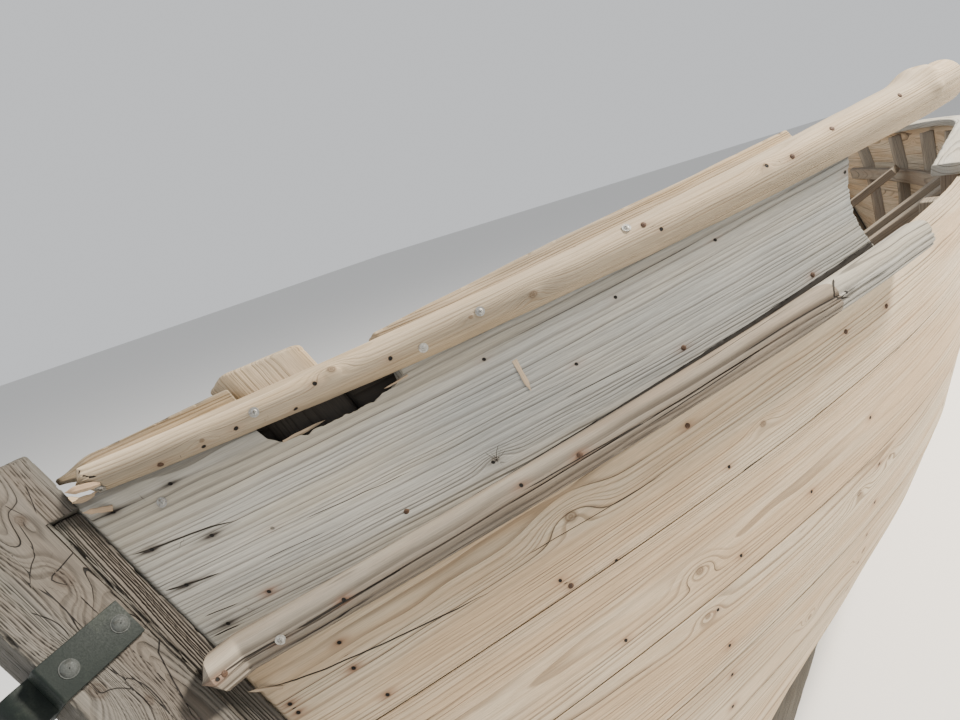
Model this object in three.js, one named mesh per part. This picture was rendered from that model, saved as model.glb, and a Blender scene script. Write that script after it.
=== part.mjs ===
import * as THREE from 'three';

// A small double-ended dhow hull: edge-laid planks on a straight keel between two raked posts,
// with a raised wash strake and pole rails over the after quarter. Its mast and yard lie on the thwarts.
// Millimetres. In the hull's own frame +X runs forward, +Y to port, and +Z up from the keel's underside.
// Ashore it lies over on its port bilge, so the finished group is heeled and set down on Z = 0.

// Backbone
const KEEL_LENGTH = 4300;
const KEEL_DEPTH = 80;
const KEEL_HALF = 46;
const HOG_TOP = 112;
const INNER_HALF = 15;
const STERN_RAKE = THREE.MathUtils.degToRad(9);
const STEM_RAKE = THREE.MathUtils.degToRad(42);
const POST_WIDTH = 135;
const STRIP_WIDTH = 42;
const APRON_WIDTH = 75;
const POST_HEAD = 106;
const STEM_HEAD = 100;
const STRIP_DROP = 6;
const APRON_DROP = 20;
const KEEL_HEEL = 16;

// Planking. The posts are a little wider at the head, so the planks' ends stand further apart there.
const REBATE_HALF = 38;
const POST_FLARE = 12 / 1100;
const PLANK = 22;
const SEAM_GAP = 2;
const CLEARANCE = 0.5;
const MIDDLE = 0.41;
const FLAT_LENGTH = 0.1;

// Frames, given by their place along the hull from 0 at the sternpost to 1 at the stem
const FRAME_COUNT = 10;
const FRAME_FIRST = 0.1;
const FRAME_LAST = 0.88;
const FRAME_SIDING = 0.0085;
const FRAME_DEPTH = 48;
const FRAME_GAP = 1;
const FRAME_HEAD = { raised: 0.66, sheer: 0.9 };
const FLOOR_DEPTH = 72;
const TIMBERHEAD = { at: 0.0472, siding: 0.0175, depth: 56, above: 122 };

// Rails and strakes above the sheer
const WASH_END = { foot: 0.2, head: 0.198, hollow: 0.006 };
const TOP_POLE = { start: 0.003, end: 0.285, aftRadius: 24.5, foreRadius: 46, outward: 10, above: 3.5 };
const LOWER_POLE = { start: -0.0103, end: 0.2105, radius: 29 };
const BATTEN = { near: 15, far: 37, aft: [0.002, 0.0375], fore: [0.0675, 0.19], tip: 14, gap: 2 };
const CAP = { start: 0.3, overhang: 12, inset: 72, rise: 3, thickness: 26 };
const SHELF = { strake: 5, foot: 0.55, head: 0.95, thickness: 28 };

// The mast stands in a step between two thwarts. Ashore it is laid down over the thwarts with its heel forward,
// against the port side, and its yard lies beside it. Places are [forward, to port].
const MAST = { at: 0.577, heel: [4230, 225], head: [230, 130], radii: [56, 52, 36] };
const YARD = { heel: [4080, 115], head: [160, 44], radii: [22, 33, 20] };
const SPAR_GAP = 3;
const STEP = { length: 240, half: 66, height: 70, mortise: [92, 62] };
const THWART_THICKNESS = 34;
const THWART_GAP = 4;

const STRAP = { width: 60, thickness: 7, arm: 121, eyeRadius: 26, pinRadius: 12, sides: 10 };
const GUDGEONS = [['upper_gudgeon', 1038], ['lower_gudgeon', 300]];

// Each seam between two planks, from the keel's rebate up to the wash strake's upper edge.
// Columns: half-breadth amidships, height at the low point, on the sternpost, on the stem, hollow of the ends
const SEAMS = [
  [38, 82, 82, 82, 1.0],
  [200, 112, 165, 250, 1.8],
  [350, 165, 255, 400, 1.6],
  [492, 237, 350, 560, 1.4],
  [626, 328, 446, 720, 1.25],
  [748, 437, 574, 880, 1.15],
  [859, 568, 734, 1040, 1.12],
  [970, 727, 925, 1200, 1.2],
  [1079, 870, 1246, 1376, 1.4],
].map(([half, low, stern, bow, hollow]) => ({ half, low, stern, bow, hollow }));
const SHEER = 7;
const STRAKES = ['garboard', 'bottom_strake', 'lower_bilge_strake', 'upper_bilge_strake',
  'lower_side_strake', 'upper_side_strake', 'sheer_strake'];
const SIDES = [['port', 1], ['starboard', -1]];

// Weathered timbers and the iron, as [colour, roughness, metalness]
const FINISHES = {
  planking: [0xb9ab98, 0.85, 0],
  wash: [0x9c968d, 0.85, 0],
  pole: [0xc4b294, 0.75, 0],
  backbone: [0x857b6e, 0.9, 0],
  inside: [0x8f7f68, 0.9, 0],
  spar: [0xa98f68, 0.7, 0],
  iron: [0x2e3638, 0.55, 0.6],
};

const hull = new THREE.Group();

function add(name, geometry, finish) {
  const [color, roughness, metalness] = FINISHES[finish];
  const mesh = new THREE.Mesh(geometry, new THREE.MeshStandardMaterial({ color, roughness, metalness }));
  mesh.name = name;
  hull.add(mesh);
  return mesh;
}

// Fore-and-aft lines of the posts' inner faces
const sternLine = (z) => -Math.tan(STERN_RAKE) * (z - KEEL_DEPTH);
const stemLine = (z) => KEEL_LENGTH + Math.tan(STEM_RAKE) * (z - KEEL_DEPTH);
const along = (u, z) => THREE.MathUtils.lerp(sternLine(z), stemLine(z), u);

// Half the breadth across the planks' ends on a post
const rebateHalf = (z) => REBATE_HALF + POST_FLARE * (z - KEEL_DEPTH);

// Half-breadth and height of a seam at a place along the hull
function seam(k, u) {
  const { half, low, stern, bow, hollow } = SEAMS[k];
  const [reach, height] = u < MIDDLE ? [MIDDLE, stern] : [1 - MIDDLE, bow];
  const out = Math.max(0, Math.min(1, (Math.abs(u - MIDDLE) - FLAT_LENGTH) / (reach - FLAT_LENGTH)));
  const fill = 1 - hollow * out ** 2 + (hollow - 1) * out ** 3;
  const root = rebateHalf(height);
  return new THREE.Vector2(root + (half - root) * fill, low + (height - low) * out ** 2);
}

// Inward normal of the plank above a seam, and the mitre that keeps two planks equally thick at their seam
function normal(k, u) {
  const rise = seam(k + 1, u).sub(seam(k, u)).normalize();
  return new THREE.Vector2(-rise.y, rise.x);
}

function mitre(k, u) {
  const below = normal(Math.max(k - 1, 0), u);
  const above = normal(Math.min(k, SEAMS.length - 2), u);
  return below.clone().add(above).divideScalar(1 + below.dot(above));
}

// A point of the strake above seam k: v runs from its lower to its upper edge, depth inward from its face
function skin(k, v, depth, u) {
  const foot = seam(k, u).addScaledVector(mitre(k, u), depth);
  const head = seam(k + 1, u).addScaledVector(mitre(k + 1, u), depth);
  return foot.lerp(head, v);
}

const place = (u, point, side = 1) => new THREE.Vector3(along(u, point.y), side * point.x, point.y);

// Places along the hull where every long piece has a corner: both faces of each frame and the gaps' middles
const spread = (at, siding) => [at - siding / 2, at + siding / 2];
const frames = Array.from({ length: FRAME_COUNT }, (_, i) =>
  THREE.MathUtils.lerp(FRAME_FIRST, FRAME_LAST, i / (FRAME_COUNT - 1)));
const gaps = frames.slice(1).map((at, i) => (at + frames[i]) / 2);
const stations = [0, 0.02, ...spread(TIMBERHEAD.at, TIMBERHEAD.siding), 0.0675, 0.085,
  ...frames.flatMap((at) => spread(at, FRAME_SIDING)), ...gaps, 0.91, 0.94, 0.97, 1].sort((a, b) => a - b);
const between = (start, end) => [start, ...stations.filter((u) => u > start && u < end), end];

// Some sides of a block have their quads split along the other diagonal, so that twisted pieces which
// lie together have the same creases. Each row names a side of the block and the share of its quads.
const CREASES = [['upper', 2, 0, 1], ['inner', 4, 0, 1]];
const FRAME_CREASES = [['upper', 2, 0, 1], ['inner, to port', 4, 0, 0.5], ['outer, to starboard', 5, 0.5, 1]];

function turnCreases({ index, groups }, creases) {
  for (const [, side, from, to] of creases) {
    const quads = groups[side].count / 6;
    for (let quad = Math.ceil(quads * from); quad < quads * to; quad += 1) {
      const start = groups[side].start + 6 * quad;
      const [a, b, d, , c] = index.array.slice(start, start + 6);
      index.array.set([a, b, c, a, c, d], start);
    }
  }
}

// A block of segments bent into place. The point function gets whole steps along each of its three edges.
function bent([nx, ny, nz], toPoint, flipped = false, creases = CREASES) {
  const geometry = new THREE.BoxGeometry(1, 1, 1, nx, ny, nz);
  turnCreases(geometry, creases);
  const position = geometry.attributes.position;
  for (let i = 0; i < position.count; i += 1) {
    const step = [position.getX(i) * nx + nx / 2, position.getY(i) * ny + ny / 2, position.getZ(i) * nz + nz / 2];
    const { x, y, z } = toPoint(...step.map(Math.round));
    position.setXYZ(i, x, y, z);
  }
  if (flipped) flip(geometry);
  return geometry;
}

function flip(geometry) {
  const index = geometry.index;
  for (let i = 0; i < index.count; i += 3) {
    const first = index.getX(i);
    index.setX(i, index.getX(i + 2));
    index.setX(i + 2, first);
  }
}

// A round pole along a row of [centre, radius] rings
function pole(rings, sides = 10) {
  const geometry = new THREE.CylinderGeometry(1, 1, 1, sides, rings.length - 1);
  const position = geometry.attributes.position;
  for (let i = 0; i < position.count; i += 1) {
    const [centre, radius] = rings[Math.round((position.getY(i) + 0.5) * (rings.length - 1))];
    position.setXYZ(i, centre.x, centre.y - radius * position.getX(i), centre.z + radius * position.getZ(i));
  }
  return geometry;
}

// A strip of the skin between two places across one strake, through a stretch of the hull
function strip(k, [foot, head], [near, far], stretch, side) {
  const corner = (i, j, d) => place(stretch[i], skin(k, j ? head : foot, d ? far : near, stretch[i]), side);
  return bent([stretch.length - 1, 1, 1], corner, side < 0);
}

function plank(k, stretch, side) {
  const shrink = SEAM_GAP / 2 / seam(k + 1, MIDDLE).distanceTo(seam(k, MIDDLE));
  return strip(k, [shrink, 1 - shrink], [0, PLANK], stretch, side);
}

// The wash strake's fore end is sawn to a hollow curve that reaches further forward at its foot
function washStrake(side) {
  const across = 5;
  const shrink = SEAM_GAP / 2 / (SEAMS[SHEER + 1].stern - SEAMS[SHEER].stern);
  const stretch = between(0, WASH_END.head - WASH_END.hollow);
  const last = stretch.length - 1;
  const endAt = (v) => THREE.MathUtils.lerp(WASH_END.foot, WASH_END.head, v) - WASH_END.hollow * Math.sin(Math.PI * v);
  const corner = (i, j, d) => {
    const v = shrink + (1 - 2 * shrink) * (j / across);
    const u = i === last ? endAt(j / across) : stretch[i];
    return place(u, skin(SHEER, v, d ? PLANK : 0, u), side);
  };
  return bent([last, across, 1], corner, side < 0);
}

// A frame runs from the starboard head, over the hog, to the port head
function frame(at) {
  const raised = at < WASH_END.head ? [[SHEER, 0], [SHEER, FRAME_HEAD.raised]] : [[SHEER - 1, FRAME_HEAD.sheer]];
  const girth = [1, 2, 3, 4, 5, 6].map((k) => [k, 0]).concat(raised);
  const outer = PLANK + FRAME_GAP;
  const overHog = [new THREE.Vector2(INNER_HALF + 6, HOG_TOP + FRAME_GAP),
    new THREE.Vector2(INNER_HALF - 5, HOG_TOP + FLOOR_DEPTH)];
  const path = [...girth.toReversed().map(([k, v]) => [-1, k, v]), [-1], [1], ...girth.map(([k, v]) => [1, k, v])];
  const faces = spread(at, FRAME_SIDING);
  return bent([1, path.length - 1, 1], (i, j, d) => {
    const [side, k, v] = path[j];
    const point = k === undefined ? overHog[d] : skin(k, v, outer + d * FRAME_DEPTH, faces[i]);
    return place(faces[i], point, side);
  }, false, FRAME_CREASES);
}

// A short frame head that stands up through the rail near the stern
function timberhead(side) {
  const faces = spread(TIMBERHEAD.at, TIMBERHEAD.siding);
  return bent([1, 3, 1], (i, j, d) => {
    const depth = PLANK + FRAME_GAP + d * TIMBERHEAD.depth;
    const point = [[SHEER - 1, 0], [SHEER, 0], [SHEER, 1], [SHEER, 1]][j];
    const at = skin(...point, depth, faces[i]);
    if (j === 3) at.y += TIMBERHEAD.above;
    return place(faces[i], at, side);
  }, side < 0);
}

// A post, strip or apron: a slab that follows a raked line, from near to far in front of it. Its half-width is
// a function of the height. Rows of [height, far] above the first give it a stepped front.
function slab(line, near, rows, halfAt) {
  return bent([1, rows.length - 1, 1], (i, j, d) => {
    const [z, far] = rows[j];
    return new THREE.Vector3(line(z) + (i ? far : near), (d ? -1 : 1) * halfAt(z), z);
  });
}

function block([x0, x1], [y0, y1], [z0, z1]) {
  const size = new THREE.BoxGeometry(x1 - x0, y1 - y0, z1 - z0);
  return size.translate((x0 + x1) / 2, (y0 + y1) / 2, (z0 + z1) / 2);
}

// Backbone
const sternSide = 1 / Math.cos(STERN_RAKE);
const stemSide = 1 / Math.cos(STEM_RAKE);
const sternStrip = -STRIP_WIDTH * sternSide;
const sternBack = sternStrip - CLEARANCE - POST_WIDTH * sternSide;
const stemStrip = STRIP_WIDTH * stemSide;
const stemFront = stemStrip + CLEARANCE + POST_WIDTH * stemSide;
const postFoot = KEEL_DEPTH + CLEARANCE;
const sternTop = SEAMS[SHEER + 1].stern;
const stripHead = sternTop - STRIP_DROP;
const apronHead = sternTop - APRON_DROP;
const sternHead = sternTop + POST_HEAD;
const stemHead = SEAMS[SHEER].bow + STEM_HEAD;
const postHalf = (z) => rebateHalf(z) + 4;
const stripHalf = (z) => rebateHalf(z) - 3;
const apronHalf = () => INNER_HALF;

add('keel', block([sternBack - KEEL_HEEL, KEEL_LENGTH + stemFront + KEEL_HEEL], [-KEEL_HALF, KEEL_HALF],
  [0, KEEL_DEPTH]), 'backbone');
add('hog', block([CLEARANCE, KEEL_LENGTH - CLEARANCE], [-INNER_HALF, INNER_HALF], [postFoot, HOG_TOP]), 'inside');
// The sternpost's head stands forward over the rebate strip, up to the planks' ends
const sternFront = sternStrip - CLEARANCE;
const sternRows = [[postFoot, sternFront], [stripHead + CLEARANCE, sternFront],
  [stripHead + 2 * CLEARANCE, -CLEARANCE], [sternHead, -CLEARANCE]];
add('sternpost', slab(sternLine, sternBack, sternRows, postHalf), 'backbone');
add('sternpost_rebate_strip', slab(sternLine, sternStrip, [[postFoot, -CLEARANCE], [stripHead, -CLEARANCE]], stripHalf),
  'backbone');
add('stern_apron', slab(sternLine, CLEARANCE, [HOG_TOP + CLEARANCE, apronHead].map((z) => [z, APRON_WIDTH]), apronHalf),
  'inside');
add('stem', slab(stemLine, stemStrip + CLEARANCE, [postFoot, stemHead].map((z) => [z, stemFront]), postHalf), 'backbone');
add('stem_rebate_strip', slab(stemLine, CLEARANCE, [postFoot, stemHead - 45].map((z) => [z, stemStrip]), stripHalf),
  'backbone');
add('bow_apron', slab(stemLine, -APRON_WIDTH, [HOG_TOP + CLEARANCE, stemHead - 80].map((z) => [z, -CLEARANCE]),
  apronHalf), 'inside');

// Planking, frames and shelves
for (const [name, side] of SIDES) {
  STRAKES.forEach((strake, k) => add(`${strake}_${name}`, plank(k, stations, side), 'planking'));
  add(`wash_strake_${name}`, washStrake(side), 'wash');
  add(`timberhead_${name}`, timberhead(side), 'inside');
}
frames.forEach((at, i) => add(`frame_${i + 1}`, frame(at), 'inside'));

const shelfFace = PLANK + 2 * FRAME_GAP + FRAME_DEPTH;
const shelfBack = shelfFace + SHELF.thickness;
const shelfEnds = [frames[0] - 0.03, frames[FRAME_COUNT - 1] + 0.03];
for (const [name, side] of SIDES) {
  const across = [SHELF.foot, SHELF.head];
  add(`beam_shelf_${name}`, strip(SHELF.strake, across, [shelfFace, shelfBack], between(...shelfEnds), side), 'inside');
}

// Poles and rails: natural poles, so each swells and tapers a little, and is rounded off at its ends
function ringsAlong({ start, end, radius }, centreAt, ends = [0.7, 0.7]) {
  const stretch = between(start, end);
  return stretch.map((u, i) => {
    const knots = 1 + 0.05 * Math.sin(60 * u) + 0.03 * Math.sin(140 * u + 1);
    const taper = i === 0 ? ends[0] : i === stretch.length - 1 ? ends[1] : 1;
    return [centreAt(u), (typeof radius === 'function' ? radius(u) : radius) * knots * taper];
  });
}

const topRadius = (u) => THREE.MathUtils.mapLinear(u, TOP_POLE.start, TOP_POLE.end, TOP_POLE.aftRadius, TOP_POLE.foreRadius);
const overEdge = (u, outward, up, side) => {
  const edge = seam(SHEER + 1, u);
  return place(u, new THREE.Vector2(edge.x + outward, edge.y + up), side);
};
const overSeam = (offset, side) => (u) =>
  place(u, seam(SHEER, u).addScaledVector(mitre(SHEER, Math.max(u, 0)), -offset), side);

// A batten on edge stands on the top pole's inner shoulder, in two lengths with the timberhead between them.
// Each row is a place along the hull and the batten's height there above the wash strake.
const BATTEN_TOP = [[0, 74], [0.0375, 93], [0.0675, 84], [0.085, 95], [0.113, 105], [0.19, 108]];

function battenTop(u) {
  const next = BATTEN_TOP.findIndex(([at]) => at > u);
  const [from, to] = next < 1 ? BATTEN_TOP.slice(-2) : BATTEN_TOP.slice(next - 1, next + 1);
  return THREE.MathUtils.mapLinear(u, from[0], to[0], from[1], to[1]);
}

function battenFoot(u) {
  const radius = topRadius(u) * 1.08;
  const shoulder = Math.sqrt(radius ** 2 - (BATTEN.near + TOP_POLE.outward) ** 2);
  return topRadius(u) + TOP_POLE.above + shoulder + BATTEN.gap + (u === BATTEN.fore[0] ? BATTEN.tip : 0);
}

function batten(ends, side) {
  const stretch = between(...ends);
  return bent([stretch.length - 1, 1, 1], (i, j, d) => {
    const u = stretch[i];
    return overEdge(u, -(d ? BATTEN.far : BATTEN.near), j ? battenTop(u) : battenFoot(u), side);
  }, side < 0);
}

for (const [name, side] of SIDES) {
  const top = (u) => overEdge(u, TOP_POLE.outward, topRadius(u) + TOP_POLE.above, side);
  const lower = overSeam(LOWER_POLE.radius * 1.12, side);
  add(`top_pole_${name}`, pole(ringsAlong({ ...TOP_POLE, radius: topRadius }, top, [0.8, 0.85])), 'pole');
  add(`lower_pole_${name}`, pole(ringsAlong(LOWER_POLE, lower)), 'wash');
  add(`inner_rail_aft_${name}`, batten(BATTEN.aft, side), 'pole');
  add(`inner_rail_fore_${name}`, batten(BATTEN.fore, side), 'pole');
}

// The gunwale cap lies square on the sheer strake's edge, forward of the poles and up to the stem
function cap(side) {
  const stretch = between(CAP.start, 1 - CLEARANCE / KEEL_LENGTH);
  return bent([stretch.length - 1, 1, 1], (i, j, d) => {
    const upPlank = seam(SHEER, stretch[i]).sub(seam(SHEER - 1, stretch[i])).normalize();
    const point = skin(SHEER - 1, 1, d ? CAP.inset : -CAP.overhang, stretch[i]);
    point.addScaledVector(upPlank, CAP.rise + (j ? CAP.thickness : 0));
    point.x = Math.max(point.x, INNER_HALF + CLEARANCE);
    return place(stretch[i], point, side);
  }, side < 0);
}
SIDES.forEach(([name, side]) => add(`gunwale_cap_${name}`, cap(side), 'wash'));

// Thwarts lie across the shelves. The pair at the mast stand close fore and aft of it.
const seatLine = SEAMS[SHELF.strake + 1].low;
const placeAt = (x, z) => (x - sternLine(z)) / (stemLine(z) - sternLine(z));

function addThwart(name, centre, width) {
  const reach = [centre - width / 2, centre + width / 2];
  const places = reach.map((x) => placeAt(x, seatLine));
  const shelfTops = places.flatMap((u) => [shelfFace, shelfBack].map((depth) =>
    skin(SHELF.strake, SHELF.head, depth, u).y));
  const foot = Math.max(...shelfTops) + FRAME_GAP;
  const half = Math.min(...places.map((u) => skin(SHELF.strake, 1, shelfFace, u).x)) - THWART_GAP;
  add(name, block(reach, [-half, half], [foot, foot + THWART_THICKNESS]), 'inside');
  return { reach, top: foot + THWART_THICKNESS };
}

const gapAt = (i) => along((frames[i] + frames[i + 1]) / 2, seatLine);
const mastX = along(MAST.at, HOG_TOP + STEP.height);
const MAST_THWART = { width: 125, gap: 148 };
const mastThwart = (way) => mastX + way * MAST_THWART.gap;
const sternThwart = addThwart('stern_thwart', gapAt(0), 200);
addThwart('after_thwart', gapAt(2), 200);
addThwart('mast_thwart_aft', mastThwart(-1), MAST_THWART.width);
addThwart('mast_thwart_fore', mastThwart(1), MAST_THWART.width);
const foreThwart = addThwart('fore_thwart', gapAt(7), 185);

// The step is a block on the hog with a mortise right through it for the mast's heel
function rectangle(Form, length, width) {
  const form = new Form();
  form.moveTo(-length / 2, -width / 2);
  form.lineTo(length / 2, -width / 2);
  form.lineTo(length / 2, width / 2);
  form.lineTo(-length / 2, width / 2);
  form.closePath();
  return form;
}
const stepOutline = rectangle(THREE.Shape, STEP.length, 2 * STEP.half);
stepOutline.holes.push(rectangle(THREE.Path, ...STEP.mortise));
const step = new THREE.ExtrudeGeometry(stepOutline, { depth: STEP.height, bevelEnabled: false });
add('mast_step', step.translate(mastX, 0, HOG_TOP + CLEARANCE), 'inside');

// A spar lies across the stern thwart and the fore thwart, which stand highest. Its radii are at the heel,
// in the middle and at the head.
function spar({ heel, head, radii }) {
  const radiusAt = (t) => radii[0] * (1 - t) * (1 - 2 * t) + 4 * radii[1] * t * (1 - t) + radii[2] * t * (2 * t - 1);
  const share = (x) => (x - heel[0]) / (head[0] - heel[0]);
  const fore = { x: foreThwart.reach[0], z: foreThwart.top };
  const aft = { x: sternThwart.reach[0], z: sternThwart.top };
  const [foreRest, aftRest] = [fore, aft].map(({ x, z }) => z + radiusAt(share(x)) + SPAR_GAP);
  const heightAt = (x) => THREE.MathUtils.mapLinear(x, fore.x, aft.x, foreRest, aftRest);
  const [from, to] = [heel, head].map(([x, y]) => new THREE.Vector3(x, y, heightAt(x)));
  const way = to.clone().sub(from);
  const geometry = new THREE.CylinderGeometry(1, 1, way.length(), 16, 6);
  const position = geometry.attributes.position;
  for (let i = 0; i < position.count; i += 1) {
    const radius = radiusAt(position.getY(i) / way.length() + 0.5);
    position.setXYZ(i, position.getX(i) * radius, position.getY(i), position.getZ(i) * radius);
  }
  const turn = new THREE.Quaternion().setFromUnitVectors(new THREE.Vector3(0, 1, 0), way.normalize());
  const middle = from.add(to).divideScalar(2);
  return geometry.applyQuaternion(turn).translate(middle.x, middle.y, middle.z);
}
add('mast', spar(MAST), 'spar');
add('yard', spar(YARD), 'spar');

// Gudgeon straps: a bar bent round the back of the sternpost, with an eye for the rudder's pin
function strap(postHalfHere) {
  const inner = postHalfHere + CLEARANCE;
  const outer = inner + STRAP.thickness;
  const back = -POST_WIDTH - CLEARANCE;
  const bridge = back - STRAP.thickness;
  const eye = bridge - STRAP.eyeRadius + 4;
  const outline = new THREE.Shape();
  outline.moveTo(back + STRAP.arm, outer);
  outline.lineTo(bridge, outer);
  outline.lineTo(bridge, STRAP.eyeRadius);
  outline.lineTo(eye, STRAP.eyeRadius);
  outline.absarc(eye, 0, STRAP.eyeRadius, Math.PI / 2, 1.5 * Math.PI, false);
  outline.lineTo(bridge, -STRAP.eyeRadius);
  outline.lineTo(bridge, -outer);
  outline.lineTo(back + STRAP.arm, -outer);
  outline.lineTo(back + STRAP.arm, -inner);
  outline.lineTo(back, -inner);
  outline.lineTo(back, inner);
  outline.lineTo(back + STRAP.arm, inner);
  const pin = new THREE.Path();
  pin.absarc(eye, 0, STRAP.pinRadius, 0, 2 * Math.PI, true);
  outline.holes.push(pin);
  return new THREE.ExtrudeGeometry(outline, { depth: STRAP.width, bevelEnabled: false, curveSegments: STRAP.sides });
}

for (const [name, height] of GUDGEONS) {
  const mesh = add(name, strap(postHalf(height + STRAP.width)), 'iron');
  mesh.rotation.y = -STERN_RAKE;
  mesh.position.set(sternLine(height) + sternStrip - CLEARANCE, 0, height);
}

// The heel at which the keel's corner and the bilge both touch the ground
const lean = (u) => (_, k) => {
  const point = seam(k, u);
  return Math.atan2(point.y, point.x - KEEL_HALF);
};
const heel = Math.min(...STRAKES.map(lean(MIDDLE)).slice(1));
hull.rotation.x = -heel;

const boat = new THREE.Group();
boat.add(hull);
boat.updateMatrixWorld(true);
const box = new THREE.Box3().setFromObject(boat, true);
const centre = box.getCenter(new THREE.Vector3());
boat.position.set(-centre.x, -centre.y, -box.min.z);

export default boat;
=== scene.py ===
# %% [markdown]
# # A weathered dhow, hauled out and lying on its bilge
#
# This lesson dresses a small double-ended dhow. Its planks have lain in the sun for years: the soft wood
# between the growth rings has washed out, nails have bled rust into the grain, and the rails are peeled
# poles. The imported model gives the sizes. We load it first, and read its boxes to place what we make.

# %% Loading the frame
import math
from functools import reduce

import bpy
import numpy as np
from mathutils import Matrix, Vector


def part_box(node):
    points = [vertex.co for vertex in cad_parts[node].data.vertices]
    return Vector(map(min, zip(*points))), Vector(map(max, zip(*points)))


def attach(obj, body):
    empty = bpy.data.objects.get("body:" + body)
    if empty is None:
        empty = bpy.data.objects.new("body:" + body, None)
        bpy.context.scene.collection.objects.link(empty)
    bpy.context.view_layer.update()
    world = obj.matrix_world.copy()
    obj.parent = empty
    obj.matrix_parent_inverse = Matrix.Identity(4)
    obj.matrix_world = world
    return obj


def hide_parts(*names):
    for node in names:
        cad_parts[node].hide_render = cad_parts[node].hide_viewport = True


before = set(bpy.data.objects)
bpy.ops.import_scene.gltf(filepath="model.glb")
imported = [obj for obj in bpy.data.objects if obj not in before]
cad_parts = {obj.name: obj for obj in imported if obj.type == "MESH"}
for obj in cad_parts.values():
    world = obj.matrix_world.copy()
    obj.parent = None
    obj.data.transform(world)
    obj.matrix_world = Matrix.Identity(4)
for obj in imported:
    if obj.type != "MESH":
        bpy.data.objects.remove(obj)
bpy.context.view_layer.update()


def linked(name, data):
    """A new object in the scene, with a mesh, curve, camera or lamp as its data."""
    thing = bpy.data.objects.new(name, data)
    bpy.context.scene.collection.objects.link(thing)
    return thing


print("nodes:", len(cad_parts))

# %% [markdown]
# ## The hull's lines
#
# A boatbuilder draws each seam between two planks as a line from post to post. Here every seam is a
# formula: its half-breadth amidships, its lowest height, and its heights on the two posts. Every plank,
# frame and rail is then placed from these lines, so pieces meet without any fitting. `u` runs from 0 at the
# sternpost to 1 at the stem. Metres, with X forward, Y to port and Z up from the keel's underside.

# %% Seams between the planks
MM = 0.001
KEEL_LENGTH = 4.3
KEEL_DEPTH = 0.08
KEEL_HALF = 0.046
HOG_TOP = 0.112
INNER_HALF = 0.015
STERN_RAKE = math.radians(9)
STEM_RAKE = math.radians(42)
REBATE_HALF = 0.038
POST_FLARE = 12 / 1100
PLANK = 0.022
SEAM_GAP = 0.002
MIDDLE = 0.41
FLAT_LENGTH = 0.1

# Half-breadth amidships, height at the low point, on the sternpost and on the stem, in millimetres,
# and the hollow of the ends
SEAMS = np.array([
    [38, 82, 82, 82, 1.0],
    [200, 112, 165, 250, 1.8],
    [350, 165, 255, 400, 1.6],
    [492, 237, 350, 560, 1.4],
    [626, 328, 446, 720, 1.25],
    [748, 437, 574, 880, 1.15],
    [859, 568, 734, 1040, 1.12],
    [970, 727, 925, 1200, 1.2],
    [1079, 870, 1246, 1376, 1.4],
]) * [MM, MM, MM, MM, 1]
SHEER = 7
STRAKES = ["garboard", "bottom_strake", "lower_bilge_strake", "upper_bilge_strake",
           "lower_side_strake", "upper_side_strake", "sheer_strake"]
SIDES = [("port", 1), ("starboard", -1)]


def stern_line(z):
    return -math.tan(STERN_RAKE) * (z - KEEL_DEPTH)


def stem_line(z):
    return KEEL_LENGTH + math.tan(STEM_RAKE) * (z - KEEL_DEPTH)


def along(u, z):
    return stern_line(z) + (stem_line(z) - stern_line(z)) * u


def rebate_half(z):
    return REBATE_HALF + POST_FLARE * (z - KEEL_DEPTH)


def seam(k, u):
    """Half-breadth and height of seam k at each place u."""
    half, low, stern, bow, hollow = SEAMS[k]
    u = np.asarray(u, float)
    reach = np.where(u < MIDDLE, MIDDLE, 1 - MIDDLE)
    end = np.where(u < MIDDLE, stern, bow)
    out = np.clip((abs(u - MIDDLE) - FLAT_LENGTH) / (reach - FLAT_LENGTH), 0, 1)
    fill = 1 - hollow * out**2 + (hollow - 1) * out**3
    root = rebate_half(end)
    return np.stack([root + (half - root) * fill, low + (end - low) * out**2], -1)


def normal(k, u):
    """Inward normal of the plank above seam k."""
    rise = seam(k + 1, u) - seam(k, u)
    rise /= np.linalg.norm(rise, axis=-1, keepdims=True)
    return np.stack([-rise[..., 1], rise[..., 0]], -1)


def mitre(k, u):
    below = normal(max(k - 1, 0), u)
    above = normal(min(k, SHEER), u)
    return (below + above) / (1 + (below * above).sum(-1, keepdims=True))


def skin(k, v, depth, u):
    """A point of the plank above seam k: v from its lower to its upper edge, depth inward from its face."""
    v, depth, u = np.broadcast_arrays(v, depth, u)
    foot = seam(k, u) + mitre(k, u) * depth[..., None]
    head = seam(k + 1, u) + mitre(k + 1, u) * depth[..., None]
    return foot + (head - foot) * v[..., None]


def on_hull(u, section, side):
    """Turns a half-breadth and a height at u into a point in the hull's own frame."""
    return np.stack([along(u, section[..., 1]), side * section[..., 0], section[..., 1]], -1)


def plank_width(k, u):
    return np.linalg.norm(seam(k + 1, u) - seam(k, u), axis=-1)


print("length over the sheer:", round(float(along(1, SEAMS[8, 3]) - along(0, SEAMS[8, 2])), 3), "m")

# %% [markdown]
# ## Standing the hull as it lies ashore
#
# A keeled boat left on hard ground rolls onto its bilge. The heel is the angle at which the keel's corner and
# the first plank to touch are both on the ground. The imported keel's box then gives the shift, so the numbers
# here can't drift from the model.

# %% Heel and place
STRIP_WIDTH = 0.042
POST_WIDTH = 0.135
CLEARANCE = 0.0005
KEEL_HEEL = 0.016
STERN_SIDE = 1 / math.cos(STERN_RAKE)
STEM_SIDE = 1 / math.cos(STEM_RAKE)
stern_strip = -STRIP_WIDTH * STERN_SIDE
stern_back = stern_strip - CLEARANCE - POST_WIDTH * STERN_SIDE

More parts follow.
